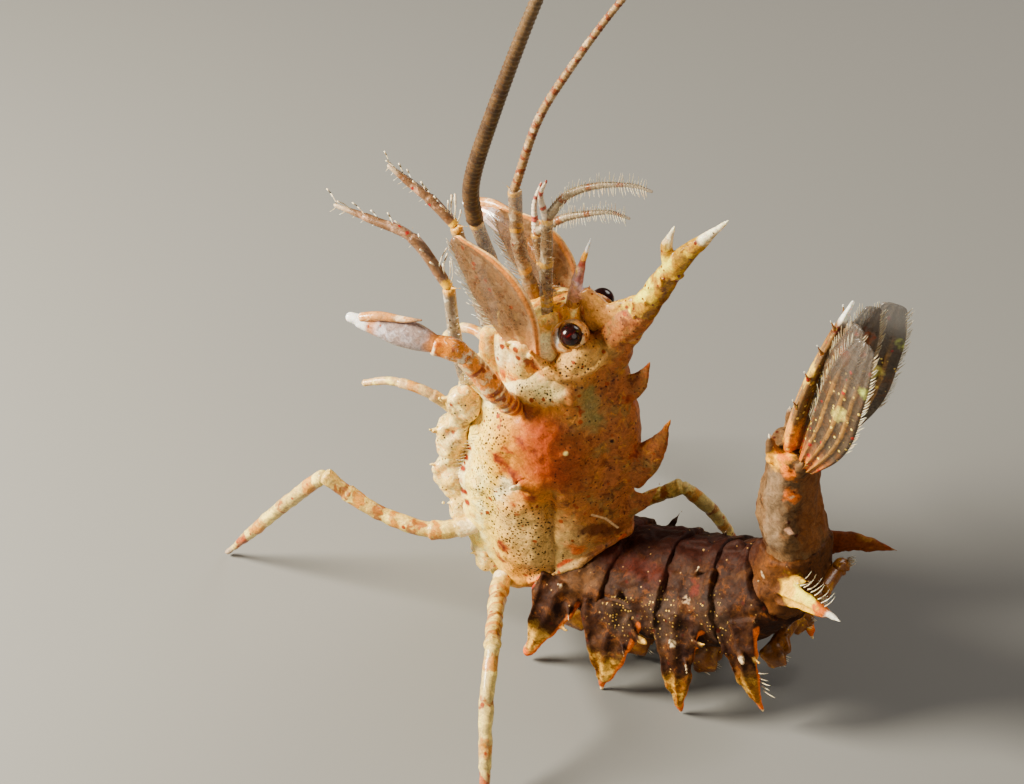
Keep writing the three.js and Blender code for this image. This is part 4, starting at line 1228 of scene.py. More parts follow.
for side, word in SIDES:
    paths = {name: claw_points(side, points) for name, points in CLAW.items()}
    limb(f"claw_arm_{word}", f"claw_merus_{word}", arm_material, paths["merus"],
         [0.56, 0.66, 0.72, 0.58], (0.0, 0.24, 1.0), voxel=0.07, sides=20,
         spines=[(0.97, (0.2, side * 0.6, 1.0), 0.6, 0.2)])
    claw_mesh = bmesh.new()
    loft(claw_mesh, paths["carpus"], [0.5, 0.66, 0.58], 24, 16, domes=(0.5, 0.4))
    wrist = piece(f"claw_wrist_{word}", claw_mesh)
    roughen(wrist, 0.5, 0.08)
    dress(wrist, [f"claw_carpus_{word}"], wrist_material)
    claw_mesh = bmesh.new()
    loft(claw_mesh, paths["palm"], [(0.5, 0.46), (0.76, 0.58), (0.82, 0.58), (0.64, 0.48),
                                    (0.4, 0.36)], 28, 24, across=PALM_ACROSS, section=hand_section,
         domes=(0.5, 1.0))
    tip = Vector(paths["palm"][3])
    loft(claw_mesh, [tip + Vector((0.3, 0.05, 0.05)), tip + Vector((-0.6, -0.1, 0.15))],
         [0.36, 0.3], 16, 6, domes=(0.6, 0.9))
    palm = piece(f"claw_hand_{word}", claw_mesh)
    melt_limb(palm, paths["palm"], 0.06)
    dress(palm, [f"claw_palm_{word}"], hand_material)
    claw_mesh = bmesh.new()
    loft(claw_mesh, paths["finger"], [0.3, 0.27, 0.2, 0.06], 16, 24, domes=(0.6, 1.2))
    finger = piece(f"claw_finger_shell_{word}", claw_mesh)
    dress(finger, [f"claw_finger_{word}"], finger_material)

# %% [markdown]
# Feelers
# A feeler is a stalk of a few joints and a long whip of many tiny rings. The rings are in the
# shape, as a slight ripple, since bump alone would leave the outline smooth. The left long feeler
# is thick and brown, and the right one is clear with red bands.

# %% Paths of the feelers
def whip(name, node, material, path, radius, ring_length, sides=10, thin_end=0.3):
    """A ringed whip: the radius ripples once for each ring."""
    points = [Vector(p) for p in path]
    length = sum((b - a).length for a, b in zip(points[:-1], points[1:]))
    rings = int(length / ring_length)

    def size(share):
        taper = radius * (1 + (thin_end - 1) * share ** 1.3)
        value = taper * (1 + 0.09 * math.sin(2 * math.pi * rings * share))
        return Vector((value, value, value))

    bm = bmesh.new()
    loft(bm, path, size, sides, rings * 4, domes=(0.5, 1.0))
    dress(piece(name, bm), [node], material)


ANTENNULES = {
    "left": ([(-4.9, -0.8, 20.8), (-5.1, -0.95, 24.8), (-5.1, -0.85, 29.2)],
             [(-5.08, -0.85, 29.2), (-3.9, -0.8, 31.0), (-2.2, -0.7, 32.1), (-0.2, -0.6, 32.7),
              (1.0, -0.6, 32.7)],
             [(-5.15, -0.95, 29.2), (-5.3, -1.3, 30.8), (-4.8, -1.6, 32.1)]),
    "right": ([(-5.2, 0.75, 20.8), (-6.1, 0.85, 24.0), (-6.7, 0.85, 26.6)],
              [(-6.66, 0.85, 26.65), (-5.0, 0.9, 28.1), (-3.6, 1.0, 28.8), (-2.3, 1.2, 29.2),
               (-1.2, 1.3, 29.1)],
              [(-6.75, 0.9, 26.6), (-7.0, 1.2, 28.2), (-6.7, 1.4, 29.6)]),
}
ANTENNAE = {
    "left": ([(-6.6, -1.8, 20.0), (-7.7, -1.8, 24.6), (-8.8, -2.3, 28.6)],
             [(-8.82, -2.35, 28.7), (-8.4, -3.4, 31.9), (-6.0, -5.4, 38.0), (-2.2, -7.8, 47.0),
              (0.6, -9.2, 52.6)], 0.46, 0.42),
    "right": ([(-6.9, 1.8, 20.0), (-8.4, 2.0, 24.4), (-8.8, 2.2, 28.0)],
              [(-8.79, 2.2, 28.1), (-7.3, 2.0, 33.0), (-5.5, 2.0, 36.7), (-2.4, 2.1, 42.0),
               (1.6, 2.4, 47.6)], 0.26, 0.3),
}
paint = Paint("feeler stalk", wet(124, 100, 76), rough=0.24, coat=0.4)
stalk_share = paint.stored("share")
paint.clouds(wet(204, 190, 164), 1.3, 0.5, 0.68, strength=0.7)
paint.clouds(wet(92, 54, 26), 1.4, 0.52, 0.68, strength=0.7)
paint.freckles(wet(84, 30, 14), 2.4, 0.24, 0.5)
for middle in (0.34, 0.66, 0.98):
    paint.band(wet(214, 160, 76), stalk_share, middle, 0.018, 0.03, 0.75)
paint.see_through(paint.step(stalk_share, 0.1, 0.4), 0.64, 1.0)
stalk_material = paint.done()
print("feeler stalk mixed")

# %% [markdown]
# Colours of the whips
# A whip has a colour band every millimetre or two. A sine of the length gives even bands, and a
# noise added to the length makes them uneven.

# %% Colours of the whips
def ringed_paint(name, ground, band, gaps, width):
    """A whip's finish: colour bands with uneven edges, so many millimetres apart."""
    paint = Paint(name, ground, coat=0.3)
    along = paint.stored("along")
    along = maths(paint.tree, "ADD", along, noise_of(paint.tree, paint.place, 1.1).outputs[0])
    wave = maths(paint.tree, "SINE", maths(paint.tree, "MULTIPLY", along, 2 * math.pi / gaps))
    paint.over(band, paint.step(wave, 0.9 - 2 * width, 1.25 - 2 * width), 0.9)
    paint.clouds(ground, 1.5, 0.55, 0.68, strength=0.5)
    return paint


banded_whip = ringed_paint("banded whip", wet(136, 108, 78), hue(112, 50, 20), 0.9, 0.3)
banded_whip.clouds(wet(206, 182, 150), 1.4, 0.52, 0.66, strength=0.6)
banded_whip = banded_whip.done()
clear_whip = ringed_paint("clear whip", wet(150, 132, 108), wet(124, 72, 42), 1.9, 0.16)
clear_whip.see_through(clear_whip.step(clear_whip.stored("share"), 0.2, 1.0), 0.5, 0.85)
clear_whip = clear_whip.done()
white_whip = ringed_paint("white tipped whip", wet(206, 190, 170), wet(140, 50, 30), 1.1, 0.2)
white_whip = white_whip.done()
brown_whip = ringed_paint("brown whip", hue(74, 50, 24), hue(62, 40, 18), 1.6, 0.3)
brown_whip.clouds(hue(96, 68, 34), 0.9, 0.46, 0.7, strength=0.7)
brown_whip.over(wet(118, 96, 70), brown_whip.step(brown_whip.stored("share"), 0.5, 0.95), 0.8)
brown_whip = brown_whip.done()
print("whip colours mixed")

# %% [markdown]
# Shape of the feelers
# Each side has a short feeler with two whips and a long one with a single whip. The spines stand at
# the ends of the stalk's joints.

# %% Shape of the feelers
for word in ("left", "right"):
    stem, outer, inner = ANTENNULES[word]
    limb(f"antennule_stalk_{word}", f"antennule_peduncle_{word}", stalk_material, stem,
         [0.5, 0.38, 0.4, 0.32], (0.0, 0.42, 0.68, 1.0), voxel=0.065,
         spines=[(0.43, (0.9, -0.2, 0.35), 1.3, 0.2), (0.43, (-0.8, -0.3, 0.6), 0.9, 0.16),
                 (0.67, (0.9, -0.2, 0.5), 1.1, 0.18), (0.98, (-0.5, -0.2, 0.9), 0.7, 0.14)])
    whip(f"antennule_outer_whip_{word}", f"antennule_outer_{word}", clear_whip, outer, 0.28, 0.22)
    whip(f"antennule_inner_whip_{word}", f"antennule_inner_{word}", white_whip, inner, 0.22, 0.22)
    base, long_whip, radius, ring_length = ANTENNAE[word]
    limb(f"antenna_stalk_{word}", f"antenna_peduncle_{word}", stalk_material, base,
         [0.55, 0.44, 0.45, 0.4], (0.0, 0.3, 0.62, 1.0), voxel=0.065,
         spines=[(0.98, (-0.8, -0.2, 0.7), 0.95, 0.17), (0.98, (0.8, -0.2, 0.7), 0.95, 0.17),
                 (0.62, (0.8, -0.3, 0.4), 0.6, 0.16)])
    whip(f"antenna_whip_{word}", f"antenna_flagellum_{word}",
         brown_whip if word == "left" else banded_whip, long_whip, radius, ring_length, 12, 0.55)

# %% [markdown]
# Antennal scales
# At the root of each long feeler stands a leaf-like scale that steers the animal when it swims. Its
# outer edge is a thick orange rib that ends in a point, and the rest is a thin brown blade with red
# spots. The section of the loft carries both, thick at one side and thin elsewhere.

# %% Antennal scales
SCALES = {
    "left": ([(-5.2, -2.7, 20.9), (-6.9, -3.0, 24.7), (-9.6, -3.0, 27.4)], (0.8, 0, 0.6)),
    "right": ([(-5.4, 2.6, 20.6), (-7.6, 3.2, 23.2), (-10.4, 3.4, 25.1)], (0.7, 0.3, 0.6)),
}
SCALE_SIZES = [(0.8, 0.36), (1.5, 0.3), (1.72, 0.28), (1.4, 0.27), (0.5, 0.22)]


def scale_section(x, z, share):
    """Thick at the outer edge, with a low midrib, and thin elsewhere."""
    thick = 0.5 + 0.9 * math.exp(-((x - 0.86) / 0.16) ** 2) + 0.3 * math.exp(-(x / 0.1) ** 2)
    return x, z * thick


paint = Paint("antennal scale", hue(112, 80, 50), rough=0.3, coat=0.3)
side_share = paint.across()
scale_share = paint.stored("share")
paint.clouds(hue(138, 106, 76), 1.2, 0.48, 0.68, strength=0.7)
paint.clouds(wet(84, 48, 24), 1.6, 0.5, 0.68, strength=0.7)
paint.over(hue(214, 142, 76), paint.step(scale_share, 0.3, 0.0), 0.7)
paint.freckles(hue(120, 50, 12), 1.3, 0.28, 0.45)
paint.freckles(SOOT, 3.2, 0.2, 0.35)
paint.over(hue(200, 120, 46), paint.step(side_share, 0.76, 0.9))
paint.over(wet(255, 216, 160), paint.step(side_share, 0.93, 1.0), 0.8)
paint.see_through(paint.step(side_share, 0.6, 0.0), 0.7, 1.0)
scale_material = paint.done()
for word, (path, across) in SCALES.items():
    scale_mesh = bmesh.new()
    loft(scale_mesh, path, SCALE_SIZES, 56, 40, across=across, section=scale_section,
         domes=(0.3, 1.4))
    scale = piece(f"antennal_scale_{word}_blade", scale_mesh)
    roughen(scale, 0.9, 0.06)
    dress(scale, [f"antennal_scale_{word}"], scale_material)

# %% [markdown]
# The breast
# Under the shield lies the breast, with the hip joints of five pairs of legs in a row. Each hip is
# a rounded lump, cream with yellow, and the legs leave from them.

# %% Breast and hips
HIPS = [(-9.3, 16.2), (-10.0, 13.6), (-10.2, 11.0), (-9.2, 8.4), (-7.6, 5.2)]
breast_mesh = bmesh.new()
loft(breast_mesh, [(-6.6, 0, 3.4), (-8.7, 0, 7.0), (-10.0, 0, 11.8), (-9.6, 0, 16.6)],
     [(2.0, 1.0), (2.5, 1.2), (2.6, 1.3), (2.0, 1.0)], 28, 24, across=(0, 1, 0))


def hip_size(share):
    """Fullest at each of the five hips."""
    value = 0.98 + 0.17 * math.cos(8 * math.pi * share)
    return Vector((value, value, value))


for side, word in SIDES:
    loft(breast_mesh, [(x, side * 2.7, z) for x, z in HIPS], hip_size, 24, 60, domes=(0.8, 0.8))
    for index, (x, z) in enumerate(HIPS):
        folded = [(x + 0.4, side * 3.1, z + 1.2), (x - 0.4, side * 3.35, z + 0.2),
                  (x - 0.6, side * 3.1, z - 0.9)]
        loft(breast_mesh, folded, [0.34, 0.48, 0.36], 14, 12)
        thorn(breast_mesh, (x - 0.4, side * 3.3, z + 0.3), (x - 1.1, side * 4.0, z + 0.6), 0.3)
breast = piece("breast_plate", breast_mesh)
fuse(breast, 0.1, 4)
roughen(breast, 0.9, 0.26)
roughen(breast, 0.35, 0.06, 4.0)
paint = Paint("breast", hue(236, 192, 92), soft=0.35, coat=0.4)
paint.clouds(hue(255, 234, 162), 1.0, 0.45, 0.6, strength=0.9)
paint.clouds(wet(226, 160, 70), 1.0, 0.53, 0.66, strength=0.8)
paint.clouds(wet(120, 92, 66), 1.4, 0.55, 0.68, strength=0.8)
paint.freckles(RUST, 1.3, 0.26, 0.55)
paint.freckles(SOOT, 3.6, 0.24, 0.45)
dress(breast, ["breast"], paint.done())
print("limbs done")

# %% [markdown]
# The abdomen
# Six rings, each a plate that slides over the next one like armour. The front of a ring is slimmer
# and hides under the ring before it, and its rear edge flares. Along the back runs a low keel. From
# each of the first five rings a pointed flap hangs down on both sides, with a thick white front
# edge, a tooth at its rear and a small spine on its face.

# %% Shape of the abdomen
ABDOMEN_LINE = [(-3.4, 0, 5.2), (-0.6, 0, 4.9), (2.7, 0, 5.1), (6.2, 0, 5.9), (9.4, 0, 7.7),
                (10.8, 0, 10.7), (10.1, 0, 14.4), (10.2, 0, 18.6)]
RING_ENDS = [0, 0.135, 0.29, 0.44, 0.58, 0.715, 1]
RING_SIZES = [(3.5, 2.7, 2.2), (3.8, 2.6, 2.3), (3.9, 3.0, 2.3), (3.6, 2.9, 2.3), (3.0, 2.4, 2.0),
              (2.2, 1.95, 1.5), (1.65, 1.4, 1.25)]
FLAPS = [([(-2.5, -3.4, 5.6), (-3.1, -4.6, 3.2), (-4.1, -5.0, 0.3)], 1.45),
         ([(0.9, -3.6, 5.6), (1.2, -4.9, 3.0), (1.05, -5.1, 0.1)], 1.9),
         ([(4.9, -3.5, 6.2), (5.7, -4.8, 3.2), (6.0, -4.7, 0.1)], 1.75),
         ([(8.4, -3.1, 7.2), (9.6, -3.9, 4.4), (10.7, -3.5, 1.4)], 1.5),
         ([(10.9, -2.4, 10.0), (12.8, -3.3, 10.6), (15.0, -3.9, 10.6)], 0.9)]
HOOKS = [((5.2, -1.8, 8.0), (5.5, -2.0, 9.1)), ((9.2, -2.5, 7.9), (9.9, -3.7, 8.0)),
         ((9.8, -1.7, 9.4), (9.5, -2.7, 10.3)), ((-2.2, -3.2, 5.6), (-2.4, -4.2, 6.1)),
         ((4.7, -3.6, 5.6), (5.2, -4.9, 5.3)), ((1.1, -3.3, 6.2), (1.4, -4.4, 6.9))]
HOOK_RINGS = (2, 3, 4, 0, 2, 1)
FAR_SPINE = [(10.9, -2.4, 10.0), (13.0, -3.2, 10.2), (15.3, -3.8, 10.0)]
FLAP_SPINES = [((-1.8, -4.0, 4.6), (-1.3, -5.0, 4.4)), ((1.9, -4.5, 4.0), (2.6, -5.5, 3.7)),
               ((6.0, -4.4, 4.4), (6.6, -5.4, 4.2)), ((9.1, -3.7, 5.8), (9.7, -4.7, 5.7)),
               ((11.6, -2.4, 10.9), (12.9, -3.4, 12.3))]
REAR_TEETH = [((-2.3, -4.5, 3.6), (-1.5, -4.7, 3.2)), ((2.6, -4.4, 4.8), (3.7, -4.9, 4.8)),
              ((6.4, -4.2, 5.6), (7.3, -4.7, 6.1)), ((9.8, -3.7, 5.9), (10.5, -4.2, 5.7)), None]
KEELS = [(0.16, 0.27, 0.25), (0.3, 0.425, 0.6), (0.45, 0.57, 0.75), (0.6, 0.69, 0.35)]
print("abdomen line of", len(ABDOMEN_LINE), "points")

# %% [markdown]
# Sections of the abdomen
# A ring is a roof above and a barrel below. A flap is a plate with a thick rib along its front edge.
# Both get these from a section, so one loft makes the whole form.

# %% Sections of the abdomen
FINE_PLACES = 200
abdomen_middles = even_path(ABDOMEN_LINE, FINE_PLACES)


def abdomen_at(share):
    """The middle line, the way ahead and the way up at a share of the abdomen."""
    i = min(max(round(share * FINE_PLACES), 1), FINE_PLACES - 1)
    ahead = (abdomen_middles[i + 1] - abdomen_middles[i - 1]).normalized()
    return abdomen_middles[i], ahead, Vector((0, -1, 0)).cross(ahead)


def ring_section(x, z, share):
    """Roof-like above, with a low ridge; fuller at the flanks below."""
    if z < 0:
        return rounded(x, z, 2.2)
    return x * (1 - 0.1 * z ** 3), z + 0.1 * z ** 10


def flap_section(x, z, share):
    """A plate whose front edge is a thick rib."""
    ribs = 0.9 * math.exp(-((x + 0.84) / 0.17) ** 2) + 0.45 * math.exp(-((x - 0.05) / 0.2) ** 2)
    return x, z * (0.62 + ribs + 0.25 * math.exp(-((x - 0.95) / 0.12) ** 2))


def ring_sizes(index):
    """Slim where the ring starts under the last one, then full, and flared at the rear."""
    start, end = Vector(RING_SIZES[index]), Vector(RING_SIZES[index + 1])
    if index == 5:
        return [start * 0.96, start.lerp(end, 0.25) * 1.03, start.lerp(end, 0.6) * 0.98, end * 1.1]
    return [start * 0.975, start.lerp(end, 0.2) * 1.02, start.lerp(end, 0.5) * 1.03,
            start.lerp(end, 0.8) * 1.03, end * 1.07]


print("the abdomen's highest point is", round(max(p.z for p in abdomen_middles), 1), "mm up")

# %% [markdown]
# Building the rings
# Each ring is lofted with its keel, hooks, flaps and spines, and all of it is melted together. The
# flap's edges are marked on the melted skin, because the melting forgets what the lofts stored.

# %% Building the rings
rings = []
for index in range(6):
    ring_mesh = bmesh.new()
    first, last = RING_ENDS[index], RING_ENDS[index + 1]
    middle, along, up = abdomen_at((first + last) / 2)
    loft(ring_mesh, ABDOMEN_LINE, ring_sizes(index), 56, 22, across=(0, -1, 0),
         section=ring_section, start=first - 0.004, end=last + 0.004, domes=(0.12, 0.1))
    if 1 <= index <= 4:
        keel_from, keel_to, keel_high = KEELS[index - 1]
        keel_path = []
        for step in range(5):
            share = keel_from + (keel_to - keel_from) * step / 4
            at, ahead, rise = abdomen_at(share)
            k = next(j for j in range(6) if share <= RING_ENDS[j + 1])
            part = (share - RING_ENDS[k]) / (RING_ENDS[k + 1] - RING_ENDS[k])
            top = RING_SIZES[k][1] + (RING_SIZES[k + 1][1] - RING_SIZES[k][1]) * part
            keel_path.append(at + rise * (top + keel_high * 0.15))
        loft(ring_mesh, keel_path, [(0.3, 0.3), (0.26, keel_high), (0.24, keel_high * 1.1),
                                    (0.22, keel_high), (0.12, 0.2)], 12, 16, across=(0, -1, 0),
             domes=(0.5, 1.5))
    for side, word in SIDES:
        for (root, tip), ring_index in zip(HOOKS, HOOK_RINGS):
            if ring_index == index:
                thorn(ring_mesh, *on_side(side, [root, tip]), 0.28, segments=12)
    if index < 5:
        path, wide = FLAPS[index]
        for side, word in SIDES:
            flap = on_side(side, path if index < 4 or side == LEFT else FAR_SPINE)
            slim = 0.82 if index > 1 else 1.0
            loft(ring_mesh, flap, [(wide * 1.05, 0.62), (wide * 0.95 * slim, 0.5),
                                   (wide * 0.68 * slim, 0.42), (wide * 0.34 * slim, 0.32),
                                   (0.08, 0.08)], 48, 36, across=along, section=flap_section,
                 domes=(0.3, 1.2))
            if index < 4 or side == LEFT:
                thorn(ring_mesh, *on_side(side, FLAP_SPINES[index]), 0.34, segments=12)
            if REAR_TEETH[index]:
                root, tip = on_side(side, REAR_TEETH[index])
                root = Vector(root) - (Vector(tip) - Vector(root)) * 0.6
                thorn(ring_mesh, root, tip, 0.3, (0, 0, -0.25), thick=0.75, across=(0, 1, 0),
                      segments=14, stations=10, taper=FIN)
    else:
        for side, word in SIDES:
            for root, tip, radius in (((9.3, -1.2, 18.0), (9.0, -1.4, 19.8), 0.5),
                                      ((10.9, -1.4, 17.8), (11.3, -1.8, 19.0), 0.4),
                                      ((9.4, -0.5, 15.4), (8.4, -0.7, 16.2), 0.3)):
                root, tip = on_side(side, [root, tip])
                thorn(ring_mesh, root, tip, radius, taper=(1, 0.85, 0.75, 0.6))
    ring = piece(f"abdomen_ring_{index + 1}", ring_mesh)
    fuse(ring, 0.085, 3)
    if index < 5:
        path, wide = FLAPS[index]
        mark_lines(ring, "tipwards", [on_side(side, path) for side, word in SIDES], 2.6)
        for name, way in (("front edge", -1), ("rear edge", 1)):
            edge = [Vector(p) + along * way * wide * part for p, part in zip(path, (1.0, 0.68, 0.06))]
            edge = even_path(edge, 6, 0.12, 1.0)
            mark_lines(ring, name, [on_side(side, edge) for side, word in SIDES], 0.5)
    rings.append(ring)
print("rings built:", len(rings))

# %% [markdown]
# Swellings of the rings
# The muscles inside show as soft waves across each ring, and a groove sets the flap off from the
# ring above it. Real plates aren't even either, so a little noise goes over all.

# %% Sculpting the rings
for index, ring in enumerate(rings):
    first, last = RING_ENDS[index], RING_ENDS[index + 1]
    middle, along, up = abdomen_at((first + last) / 2)
    wide, high = RING_SIZES[index][0], RING_SIZES[index][1]
    side_point = middle + Vector((0, -wide * 0.97, 0)) + up * 0.4
    press(ring, [
        (side_point - along * 1.3, side_point + along * 1.3, 0.42, -0.06),
        (middle + Vector((0, -wide * 0.75, 0)) + up * high * 0.55 - along * 0.9,
         middle + Vector((0, -wide * 0.45, 0)) + up * high * 0.85 - along * 0.9, 0.5, -0.14),
        (middle + Vector((0, -wide * 0.8, 0)) + up * high * 0.4 + along * 0.5,
         middle + Vector((0, -wide * 0.4, 0)) + up * high * 0.9 + along * 0.5, 0.6, 0.12)])
    roughen(ring, 1.0, 0.2, index * 2.0)
    roughen(ring, 0.4, 0.06, index * 3.0)
print("rings sculpted")

# %% [markdown]
# Colour of the abdomen
# The rings are brown and half clear, with gold specks. A dark red band runs along the back from the
# shield. The flaps turn yellow towards their tips, with orange rims and white points. The fifth
# flap on the left is golden, with one orange band before its cream point.

# %% Finish of the abdomen
BARK, SMOKE = hue(46, 22, 4), hue(62, 48, 38)


def abdomen_paint(name, ground, with_flaps=True):
    paint = Paint(name, ground, rough=0.6, soft=0.1, coat=0.0, relief=(0.7, 0.6), bump=0.4,
                  gloss=0.12)
    paint.clouds(hue(80, 50, 26), 1.0, 0.46, 0.68, strength=0.6)
    paint.clouds(hue(28, 13, 4), 1.2, 0.48, 0.68, strength=0.75)
    paint.clouds(hue(112, 62, 22), 1.6, 0.54, 0.7, strength=0.6)
    paint.patch(BARK, (0.4, 0, 8.4), (4.0, 0, 9.2), 1.7, 0.5, 0.85)
    paint.patch(BARK, (4.0, 0, 9.2), (8.6, 0, 10.8), 1.5, 0.5, 0.85)
    for start, end, radius in (((-1.6, 2.5, 8.2), (0.4, 2.0, 7.9), 0.8),
                               ((0.4, 2.0, 7.9), (3.0, 2.3, 7.6), 0.7)):
        paint.patch(hue(62, 25, 6), start, end, radius, 0.6, 0.9)
    for start, end, radius in (((1.4, 4.2, 5.9), (1.8, 4.2, 5.2), 0.85),
                               ((4.0, 3.7, 6.5), (4.4, 4.0, 5.6), 1.0),
                               ((7.0, 3.4, 7.4), (7.4, 3.6, 6.6), 0.9)):
        specked = paint.patch_mask(start, end, radius, 0.6)
        paint.over(SMOKE, specked, 0.55)
        paint.freckles(hue(200, 156, 70), 5.6, 0.32, 0.4, inside=specked)
    paint.freckles(hue(150, 112, 62), 3.0, 0.18, 0.15)
    paint.freckles(hue(64, 26, 8), 1.6, 0.24, 0.3)
    if not with_flaps:
        return paint
    tipwards, front = paint.stored("tipwards"), paint.stored("front edge near")
    low = paint.step(tipwards, 0.46, 0.7)
    paint.over(hue(150, 94, 26), low, 0.9)
    paint.clouds(hue(236, 180, 70), 1.0, 0.44, 0.6, inside=low, strength=0.9)
    paint.clouds(wet(92, 46, 12), 1.4, 0.54, 0.68, inside=low, strength=0.8)
    paint.over(wet(224, 116, 24), paint.step(paint.stored("rear edge near"), 0.5, 0.8), 0.9)
    paint.over(hue(204, 160, 112), paint.step(front, 0.5, 0.85), 0.5)
    dashes = maths(paint.tree, "MULTIPLY", paint.stored("front edge"), 34.0)
    dashes = paint.step(maths(paint.tree, "SINE", dashes), 0.3, 0.7)
    paint.over(wet(150, 50, 12), paint.step(front, 0.4, 0.7), 0.8, inside=dashes)
    paint.over(wet(196, 96, 22), paint.step(tipwards, 0.86, 0.92), 0.9)
    paint.over(wet(250, 226, 176), paint.step(tipwards, 0.96, 0.99), 0.9)
    for root, tip in FLAP_SPINES + HOOKS:
        paint.patch(hue(220, 190, 146), on_side(RIGHT, [tip])[0], None, 0.28, 0.7, 0.9)
    for tooth in REAR_TEETH[:4]:
        paint.patch(wet(240, 190, 116), on_side(RIGHT, [tooth[1]])[0], None, 0.4, 0.6, 0.85)
    return paint


paint = abdomen_paint("abdomen shell", hue(48, 27, 10))
paint.patch(hue(92, 60, 32), (-1.8, 3.6, 6.2), (-0.8, 3.2, 6.4), 0.7, 0.7, 0.6)
paint.patch(SOOT, (-0.7, 3.0, 6.8), None, 0.13, 0.3)
paint.patch(hue(84, 30, 8), (5.5, 2.2, 8.0), (5.7, 2.6, 7.6), 0.3, 0.5, 0.9)
paint.patch(wet(190, 160, 130), (5.0, 2.7, 7.8), (5.4, 3.1, 7.3), 0.1, 0.8, 0.6)
ring_material = paint.done()
for index in range(4):
    dress(rings[index], [f"somite_{index + 1}"], ring_material)

paint = abdomen_paint("fifth ring", hue(84, 50, 24))
for colour, start, end, radius in ((hue(238, 178, 24), (11.7, -3.0, 10.7), (13.2, -3.5, 10.9), 0.85),
                                   (hue(255, 228, 54), (12.1, -3.3, 11.1), (13.0, -3.5, 11.0), 0.5),
                                   (hue(190, 92, 16), (13.7, -3.6, 10.8), (13.95, -3.7, 10.8), 0.5),
                                   (wet(255, 246, 226), (14.6, -3.8, 10.7), (15.0, -3.9, 10.6), 0.5)):
    paint.patch(colour, start, end, radius, 0.4, one_side=True)
paint.patch(wet(96, 50, 16), (11.4, 2.6, 10.2), (15.3, 3.8, 10.0), 1.0, 0.6, 0.9, one_side=True)
dress(rings[4], ["somite_5"], paint.done())

paint = abdomen_paint("sixth ring", hue(100, 74, 48), with_flaps=False)
for colour, start, end, radius, strength in (
        (wet(128, 108, 88), (10.0, 1.7, 13.0), (9.7, 1.6, 17.0), 0.7, 0.6),
        (hue(124, 70, 30), (11.6, 0.6, 17.8), (11.9, 0.8, 13.0), 0.9, 0.6),
        (wet(255, 186, 76), (9.4, 1.4, 18.2), (9.9, 1.5, 18.6), 0.55, 0.95),
        (wet(232, 130, 60), (9.9, 1.6, 19.0), (10.6, 1.6, 17.7), 0.35, 0.9),
        (wet(84, 14, 8), (10.55, 1.7, 18.0), None, 0.24, 0.95),
        (wet(222, 118, 50), (10.7, 1.76, 16.3), None, 0.38, 0.9),
        (wet(252, 214, 170), (10.7, 1.76, 16.3), None, 0.16, 0.9),
        (wet(236, 186, 156), (10.7, 1.9, 14.1), None, 0.26, 0.9),
        (wet(240, 228, 204), (8.8, 1.5, 20.1), None, 0.5, 0.9)):
    paint.patch(colour, start, end, radius, 0.5, strength)
dress(rings[5], ["somite_6"], paint.done())

# %% [markdown]
# The tail fan
# A pointed middle blade and two pairs of leaf-shaped side blades make the fan. It is closed here,
# so the blades lie over each other. They are clear towards their ends, with lengthwise ribs of
# yellow and orange and some bright yellow blots. The ribs are in the section of the loft.

# %% Blades and paint of the tail fan
TELSON = [(10.0, 0, 18.9), (10.5, 0, 22.0), (11.4, 0, 25.4), (12.6, 0, 29.1)]
OUTER_BLADE = [(11.4, -1.5, 18.6), (12.7, -1.9, 21.6), (13.4, -2.1, 24.8), (14.2, -2.0, 28.0)]
INNER_BLADE = [(11.0, -0.8, 18.8), (11.9, -1.0, 22.0), (12.6, -1.1, 25.2), (13.4, -1.0, 28.2)]
OUTER_SIZES = [(0.6, 0.38), (1.15, 0.34), (1.4, 0.3), (1.4, 0.28), (1.25, 0.25), (0.75, 0.2)]
INNER_SIZES = [(0.45, 0.34), (0.85, 0.3), (1.05, 0.28), (1.0, 0.26), (0.5, 0.2)]
OUTER_SLANT, INNER_SLANT = (0.95, 0.3), (0.9, 0.43)
RIBS = (-0.55, 0.0, 0.5)


def slanted(side, slant):
    """The direction across a side blade."""
    return (slant[0], side * slant[1], 0)


def blade_section(x, z, share):
    """Thin, with three ribs and a thickened outer edge, which fade towards the end."""
    fade = 1 - 0.6 * share
    ribs = sum(math.exp(-((x - rib) / 0.09) ** 2) for rib in RIBS)
    return x, z * (0.55 + 0.55 * fade * ribs + 0.45 * math.exp(-((abs(x) - 0.92) / 0.09) ** 2))


def telson_section(x, z, share):
    """A low roof with a groove down the middle."""
    return x, z * (0.95 - 0.3 * math.exp(-(x / 0.16) ** 2) + 0.25 * math.exp(
        -((abs(x) - 0.42) / 0.14) ** 2))


def tail_paint(name, ground, rib_shade, clear_from):
    paint = Paint(name, ground, rough=0.26, coat=0.4)
    turn, share = paint.across(), paint.stored("share")
    paint.clouds(hue(100, 84, 68), 0.9, 0.48, 0.68, strength=0.6)
    paint.clouds(wet(96, 60, 30), 1.2, 0.5, 0.68, strength=0.65)
    paint.over(wet(206, 120, 50), paint.step(share, 0.24, 0.0), 0.8)
    basal = paint.step(share, 0.9, 0.5)
    for rib in RIBS:
        paint.band(rib_shade, turn, rib, 0.09, 0.12, 0.75, inside=basal)
    paint.clouds(ground, 2.0, 0.5, 0.62, strength=0.6)
    paint.freckles(wet(236, 206, 120), 3.0, 0.28, 0.5, inside=basal)
    paint.freckles(wet(150, 48, 12), 1.5, 0.22, 0.5)
    clear = paint.step(share, clear_from, 1.0)
    paint.over(wet(106, 98, 92), clear, 0.7)
    paint.see_through(clear, 0.5, 0.96)
    return paint


print("tail paint ready")

# %% [markdown]
# Shape of the tail fan
# The middle blade bears four pairs of tiny spines on its back. The side blades are lofted across a
# slanting direction, so that they lie over each other like a half-closed fan.

